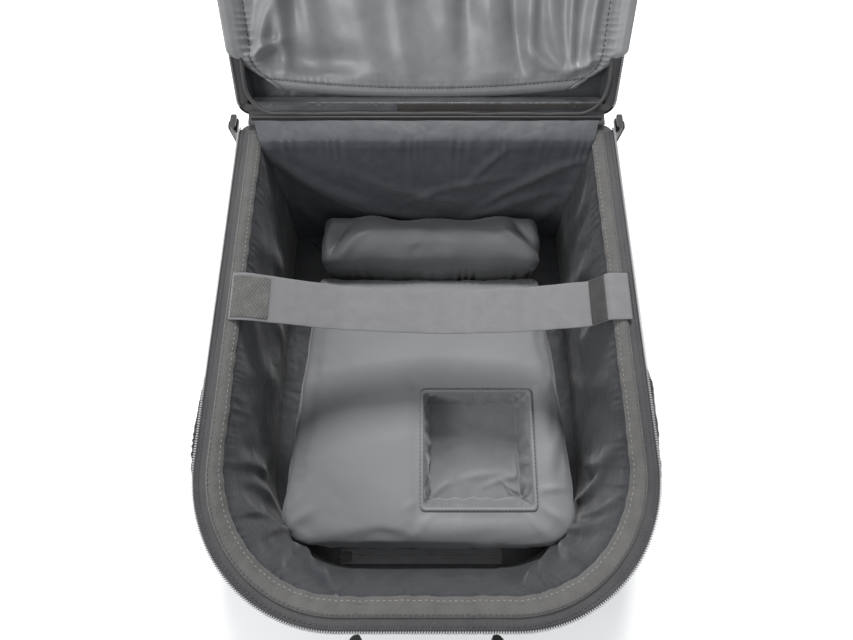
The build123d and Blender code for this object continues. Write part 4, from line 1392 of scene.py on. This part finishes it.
long_folds = folds(panel_x, panel_y, [
    # middle x, middle y, direction, half width, half length, depth towards the viewer
    (-0.128, 0.120, 118, 0.0070, 0.060, 0.0062), (-0.112, 0.090, 104, 0.0060, 0.080, 0.0050),
    (-0.140, 0.150, 150, 0.0040, 0.020, 0.0040), (-0.095, 0.060, 96, 0.0100, 0.100, 0.0036),
    (-0.060, 0.060, 88, 0.0150, 0.110, 0.0040), (-0.022, 0.080, 92, 0.0090, 0.100, 0.0022),
    (0.010, 0.050, 88, 0.0120, 0.110, 0.0030), (0.032, 0.100, 95, 0.0080, 0.070, -0.0030),
    (0.050, 0.060, 90, 0.0100, 0.110, 0.0036), (0.070, 0.110, 84, 0.0060, 0.060, -0.0026),
    (0.086, 0.090, 94, 0.0060, 0.080, 0.0040), (0.104, 0.130, 74, 0.0060, 0.034, 0.0036),
    (0.118, 0.100, 90, 0.0035, 0.090, 0.0034), (0.138, 0.110, 96, 0.0050, 0.070, 0.0044),
    (0.100, 0.160, 30, 0.0050, 0.020, 0.0020), (0.130, 0.164, 152, 0.0050, 0.024, 0.0030),
    (-0.105, 0.158, 8, 0.0110, 0.045, -0.0042), (-0.04, 0.000, 92, 0.0110, 0.120, 0.0030),
    (0.075, -0.010, 87, 0.0120, 0.110, 0.0032), (-0.09, -0.020, 95, 0.0100, 0.100, 0.0030)])
side_height = np.interp(
    to_side / np.maximum(seam_x[:, None], 1e-6), [0, 0.03, 0.12, 0.35, 0.65, 0.90, 1.0, 1.10, 1.5],
    [0.42, 0.12, 0.05, 0.08, 0.26, 0.58, 0.80, 0.86, 1.0])
plain_side = np.interp(to_side, [0, 0.0008, 0.003, 0.006, 0.009, 0.012], [1.80, 1.25, 1.03, 0.98, 1.0, 1.0])
share = swell_share[:, None]
low_side = share * side_height + (1 - share) * plain_side
roll = np.interp(bottom_gap, [0, 0.0006, 0.0022, 0.0050, 0.0074, 0.0088, 0.0105, 0.0150],
                 [0.0110, 0.0072, 0.0040, 0.0022, 0.0020, 0.0030, 0.0008, 0.0])
seam_pull = 0.0011 * tucks(panel_x, 0.0060, 131) * np.exp(-np.clip(bottom_gap - 0.0088, 0, 1) / 0.005) * (
    bottom_gap > 0.0088)
side_pull = 0.0014 * tucks(panel_y, 0.0058, 132) * np.exp(-((to_side - seam_x[:, None]) / 0.0050) ** 2)
side_groove = 0.0016 * np.exp(-((to_side - seam_x[:, None]) / 0.0010) ** 2)
free = ramp(to_side, 0.004, 0.030) * ramp(bottom_gap, 0.008, 0.022) * ramp(panel_rows, mouth_y,
    mouth_y + 0.01)[:, None]
mouth_roll = 0.0022 * (1 - ramp(panel_rows, mouth_y, mouth_y + 0.0025))[:, None]
panel_w = (panel_height * low_side + roll - 2.0 * long_folds * free - seam_pull - side_pull + side_groove
           + mouth_roll
           + 0.0009 * ripple(panel_x, panel_y, ((0.06, 1.0), (0.025, 0.5)), 133) * free)
pocket_satin = cloth("pocket_satin", (0.185, 0.187, 0.190), (0.245, 0.248, 0.252), 0.38, 2400, 2400, 0.00003,
                     24.0,
                     0.0008, 0.25, 0.12, specular=0.5)
pocket_panel = sheet_mesh("pocket_panel", lid_place(np.stack([panel_x, panel_y, panel_w], -1)), pocket_satin,
                          inward=True)
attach(pocket_panel, "lid")
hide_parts("lid_pocket_panel")


def seam_stitches(name, x, y, w, pitch, shape, body, finish):
    """Row of stitches along a line on the lid, given by closed-lid coordinates."""
    line = np.stack([x, y, w], 1)
    length = np.concatenate([[0], np.cumsum(np.linalg.norm(np.diff(line, axis=0), axis=1))])
    at = np.arange(0, length[-1], pitch)
    even = np.stack([np.interp(at, length, line[:, axis]) for axis in range(3)], 1)
    ahead = np.gradient(even, axis=0)
    across = np.cross(ahead, np.tile((0.0, 0.0, 1.0), (len(even), 1)))
    row = strewn(name, shape, lid_place(even), lid_turn(ahead), lid_turn(across), finish)
    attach(row, body)


small_stitch = bead_shape(0.0024, 0.0006, 0.0006)
seam_cols = slice(24, -24)
seam_row = int(np.argmin(np.abs(back_edge_y - panel_rows - 0.0090)))
seam_stitches("pocket_seam_stitches", panel_x[seam_row, seam_cols], panel_y[seam_row, seam_cols],
              panel_w[seam_row, seam_cols] - 0.0004, 0.0036, small_stitch, "lid", hem_thread)
for side, label in ((-1, "left"), (1, "right")):
    rows_shown = (panel_rows > 0.0) & (panel_rows < 0.172)
    seam_place = side * (panel_half - seam_x)[rows_shown]
    seam_level = np.array([np.interp(at, panel_x[row], panel_w[row]) for at, row in zip(
        seam_place, np.nonzero(rows_shown)[0])])
    seam_stitches("pocket_side_stitches_" + label, seam_place, panel_rows[rows_shown] - edge_bow * (
            seam_place / 0.150) ** 2 * ramp(panel_rows[rows_shown], 0.120, back_edge_y), seam_level - 0.0005,
            0.0042,
        small_stitch, "lid", hem_thread)

# ---------------------------------------------------------------- lid: bound edge and hinge facing
# A narrow binding finishes the lid's inner edge. Along the hinge it swings out to the hinge
# line, over a flat facing that carries a strip of hook tape and a row of stitches.
round_corner = 0.024
side_inset = 0.0098
facing_y = 0.1990


def bound_line(count):
    """Middle line of the binding: in from the outline on three sides, at the hinge line behind."""
    run = np.linspace(-hinge_corner, hinge_corner, count)
    place, normal = case_edge(run)
    side = place - side_inset * normal
    keep = side[:, 1] < facing_y - round_corner
    right = side[keep][-1]
    turn = np.linspace(0, math.pi / 2, 26)[1:]
    arc = np.stack([right[0] - round_corner + round_corner * np.cos(turn),
                    facing_y - round_corner + round_corner * np.sin(turn)], 1)
    across = np.linspace(arc[-1, 0], -arc[-1, 0], 90)[1:-1]
    back = np.stack([across, np.full_like(across, facing_y)], 1)
    left_arc = arc[::-1] * [-1, 1]
    line = np.concatenate([side[keep], arc, back, left_arc])
    closed = np.concatenate([line, line[:1]])
    length = np.concatenate([[0], np.cumsum(np.linalg.norm(np.diff(closed, axis=0), axis=1))])
    at = np.linspace(0, length[-1], count, endpoint=False)
    return np.stack([np.interp(at, length, closed[:, axis]) for axis in range(2)], 1)


bound = bound_line(700)
bound_ahead = np.roll(bound, -1, 0) - np.roll(bound, 1, 0)
bound_ahead /= np.linalg.norm(bound_ahead, axis=1, keepdims=True)
bound_out = np.stack([bound_ahead[:, 1], -bound_ahead[:, 0]], 1)
tube_angle = np.linspace(0, 2 * math.pi, 14, endpoint=False)
tube_out = 0.0016 * np.cos(tube_angle)
tube_rise = 0.0021 * np.sin(tube_angle)
bound_w = 0.0036 + 0.0036 * (1 - ramp(bound[:, 1:], 0.145, 0.178))
bound_wave = 0.0004 * ripple(bound[:, :1], bound[:, 1:], ((0.05, 1.0), (0.02, 0.6)), 141)
tube = np.zeros((len(bound), len(tube_angle), 3))
tube[..., :2] = bound[:, None, :] + bound_out[:, None, :] * (tube_out[None, :, None] + bound_wave[..., None])
tube[..., 2] = bound_w + tube_rise + bound_wave
lid_binding = sheet_mesh("lid_bound_edge", lid_place(tube), binding_tape, around=True, tube=True, inward=True)
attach(lid_binding, "lid")
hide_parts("lid_binding")

facing_x = np.linspace(-1, 1, 200)
facing_rows = np.linspace(0, 1, 26)
facing_out_y = 0.1995
facing_edge = 0.1565
facing_in_y = 0.1868
span_y = facing_out_y + (facing_in_y - facing_out_y) * facing_rows
corner_x = facing_edge - np.where(span_y > facing_y - round_corner, round_corner - np.sqrt(np.clip(
    round_corner ** 2 - (span_y - (facing_y - round_corner)) ** 2, 0, None)), 0)
facing_px = facing_x[:, None] * corner_x[None, :]
facing_w = np.interp(facing_rows, [0, 0.15, 0.55, 0.75, 0.88, 1.0],
                     [0.0036, 0.0036, 0.0038, 0.0050, 0.0100, 0.0180])
facing_tucks = 0.0010 * tucks(facing_px, 0.0115, 151) * ramp(facing_rows, 0.50, 0.75)[None, :]
facing_points = np.stack([facing_px, np.broadcast_to(span_y[None, :], facing_px.shape),
                          facing_w[None, :] - facing_tucks + 0.0004 * ripple(
                              facing_px, span_y[None, :], ((0.06, 1.0), (0.025, 0.6)), 152)], -1)
# The facing's satin is coloured far darker than the lining: painted shade for the deep shadow under the
# pocket's roll.
facing_shaded_satin = cloth("facing_shaded_satin", (0.016, 0.017, 0.020), (0.034, 0.036, 0.041), 0.45, 2400, 2400, 0.00003,
                     24.0,
                     0.0009, 0.2, 0.15, specular=0.6)
facing = sheet_mesh("hinge_facing", lid_place(facing_points), facing_shaded_satin)
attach(facing, "lid")

brown_tape = cloth("brown_hook_tape", (0.012, 0.011, 0.010), (0.034, 0.030, 0.026), 0.85, 900, 520, 0.0005,
                   60.0,
                   0.0002, 0.1, 0.5)
strip_low, strip_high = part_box("lid_hook_strip")
strip_x = np.linspace(strip_low.x + 0.0006, strip_high.x - 0.0006, 160)
strip_angle = np.linspace(0, 2 * math.pi, 20, endpoint=False)
strip_y = 0.1935 - 0.0006 * (strip_x / 0.15) ** 2
strip_skin = np.zeros((len(strip_x), len(strip_angle), 3))
strip_skin[..., 0] = strip_x[:, None]
strip_skin[..., 1] = strip_y[:, None] + 0.0027 * blunt(np.cos(strip_angle), 0.4)
strip_skin[..., 2] = 0.0034 + 0.0007 * blunt(np.sin(strip_angle), 0.6) + 0.0002 * (
    ripple(strip_x[:, None], 0.0, ((0.03, 1.0),), 153))
hook_strip = sheet_mesh("hook_strip", lid_place(strip_skin), brown_tape, tube=True, capped=True)
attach(hook_strip, "lid")
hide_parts("lid_hook_strip")
stitch_line = np.linspace(-0.135, 0.135, 80)
seam_stitches("facing_stitches", stitch_line, np.full_like(stitch_line, 0.1970),
              np.full_like(stitch_line, 0.0031),
              0.0036, small_stitch, "lid", thread_finish)

# ---------------------------------------------------------------- hinge fabric
# One strip of the lining turns over the case's back edge and runs into the lid: it is the hinge.
hinge_half = 0.1555
hinge_profile = np.array([(0.1955, 0.1584), (0.1965, 0.1593), (0.1985, 0.1596), (0.2010, 0.1596),
                          (0.2032, 0.1597),
                          (0.2052, 0.1602), (0.2066, 0.1612), (0.2072, 0.1624)])
profile_length = np.concatenate([[0], np.cumsum(np.linalg.norm(np.diff(hinge_profile, axis=0), axis=1))])
profile_at = np.linspace(0, profile_length[-1], 30)
hinge_cut = np.stack([np.interp(profile_at, profile_length, hinge_profile[:, axis]) for axis in range(2)], 1)
hinge_cut = np.stack([softened(hinge_cut[:, 0], 3), softened(hinge_cut[:, 1], 3)], 1)
hinge_x = np.linspace(-hinge_half, hinge_half, 220)
hinge_points = np.zeros((len(hinge_x), len(hinge_cut), 3))
hinge_points[..., 0] = hinge_x[:, None]
hinge_ripple = 0.0004 * ripple(hinge_x[:, None], profile_at[None, :], ((0.05, 1.0), (0.018, 0.7)), 161)
hinge_points[..., 1] = hinge_cut[None, :, 0]
hinge_points[..., 2] = hinge_cut[None, :, 1] + hinge_ripple * np.sin(np.linspace(0, math.pi, len(hinge_cut)))
hinge_fabric = sheet_mesh("hinge_fabric", hinge_points, coated_nylon)
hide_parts("back_rim_binding")
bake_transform(hinge_fabric)
dressed(cord_cover, "hinge_bead")

# ---------------------------------------------------------------- final update
bpy.context.view_layer.update()
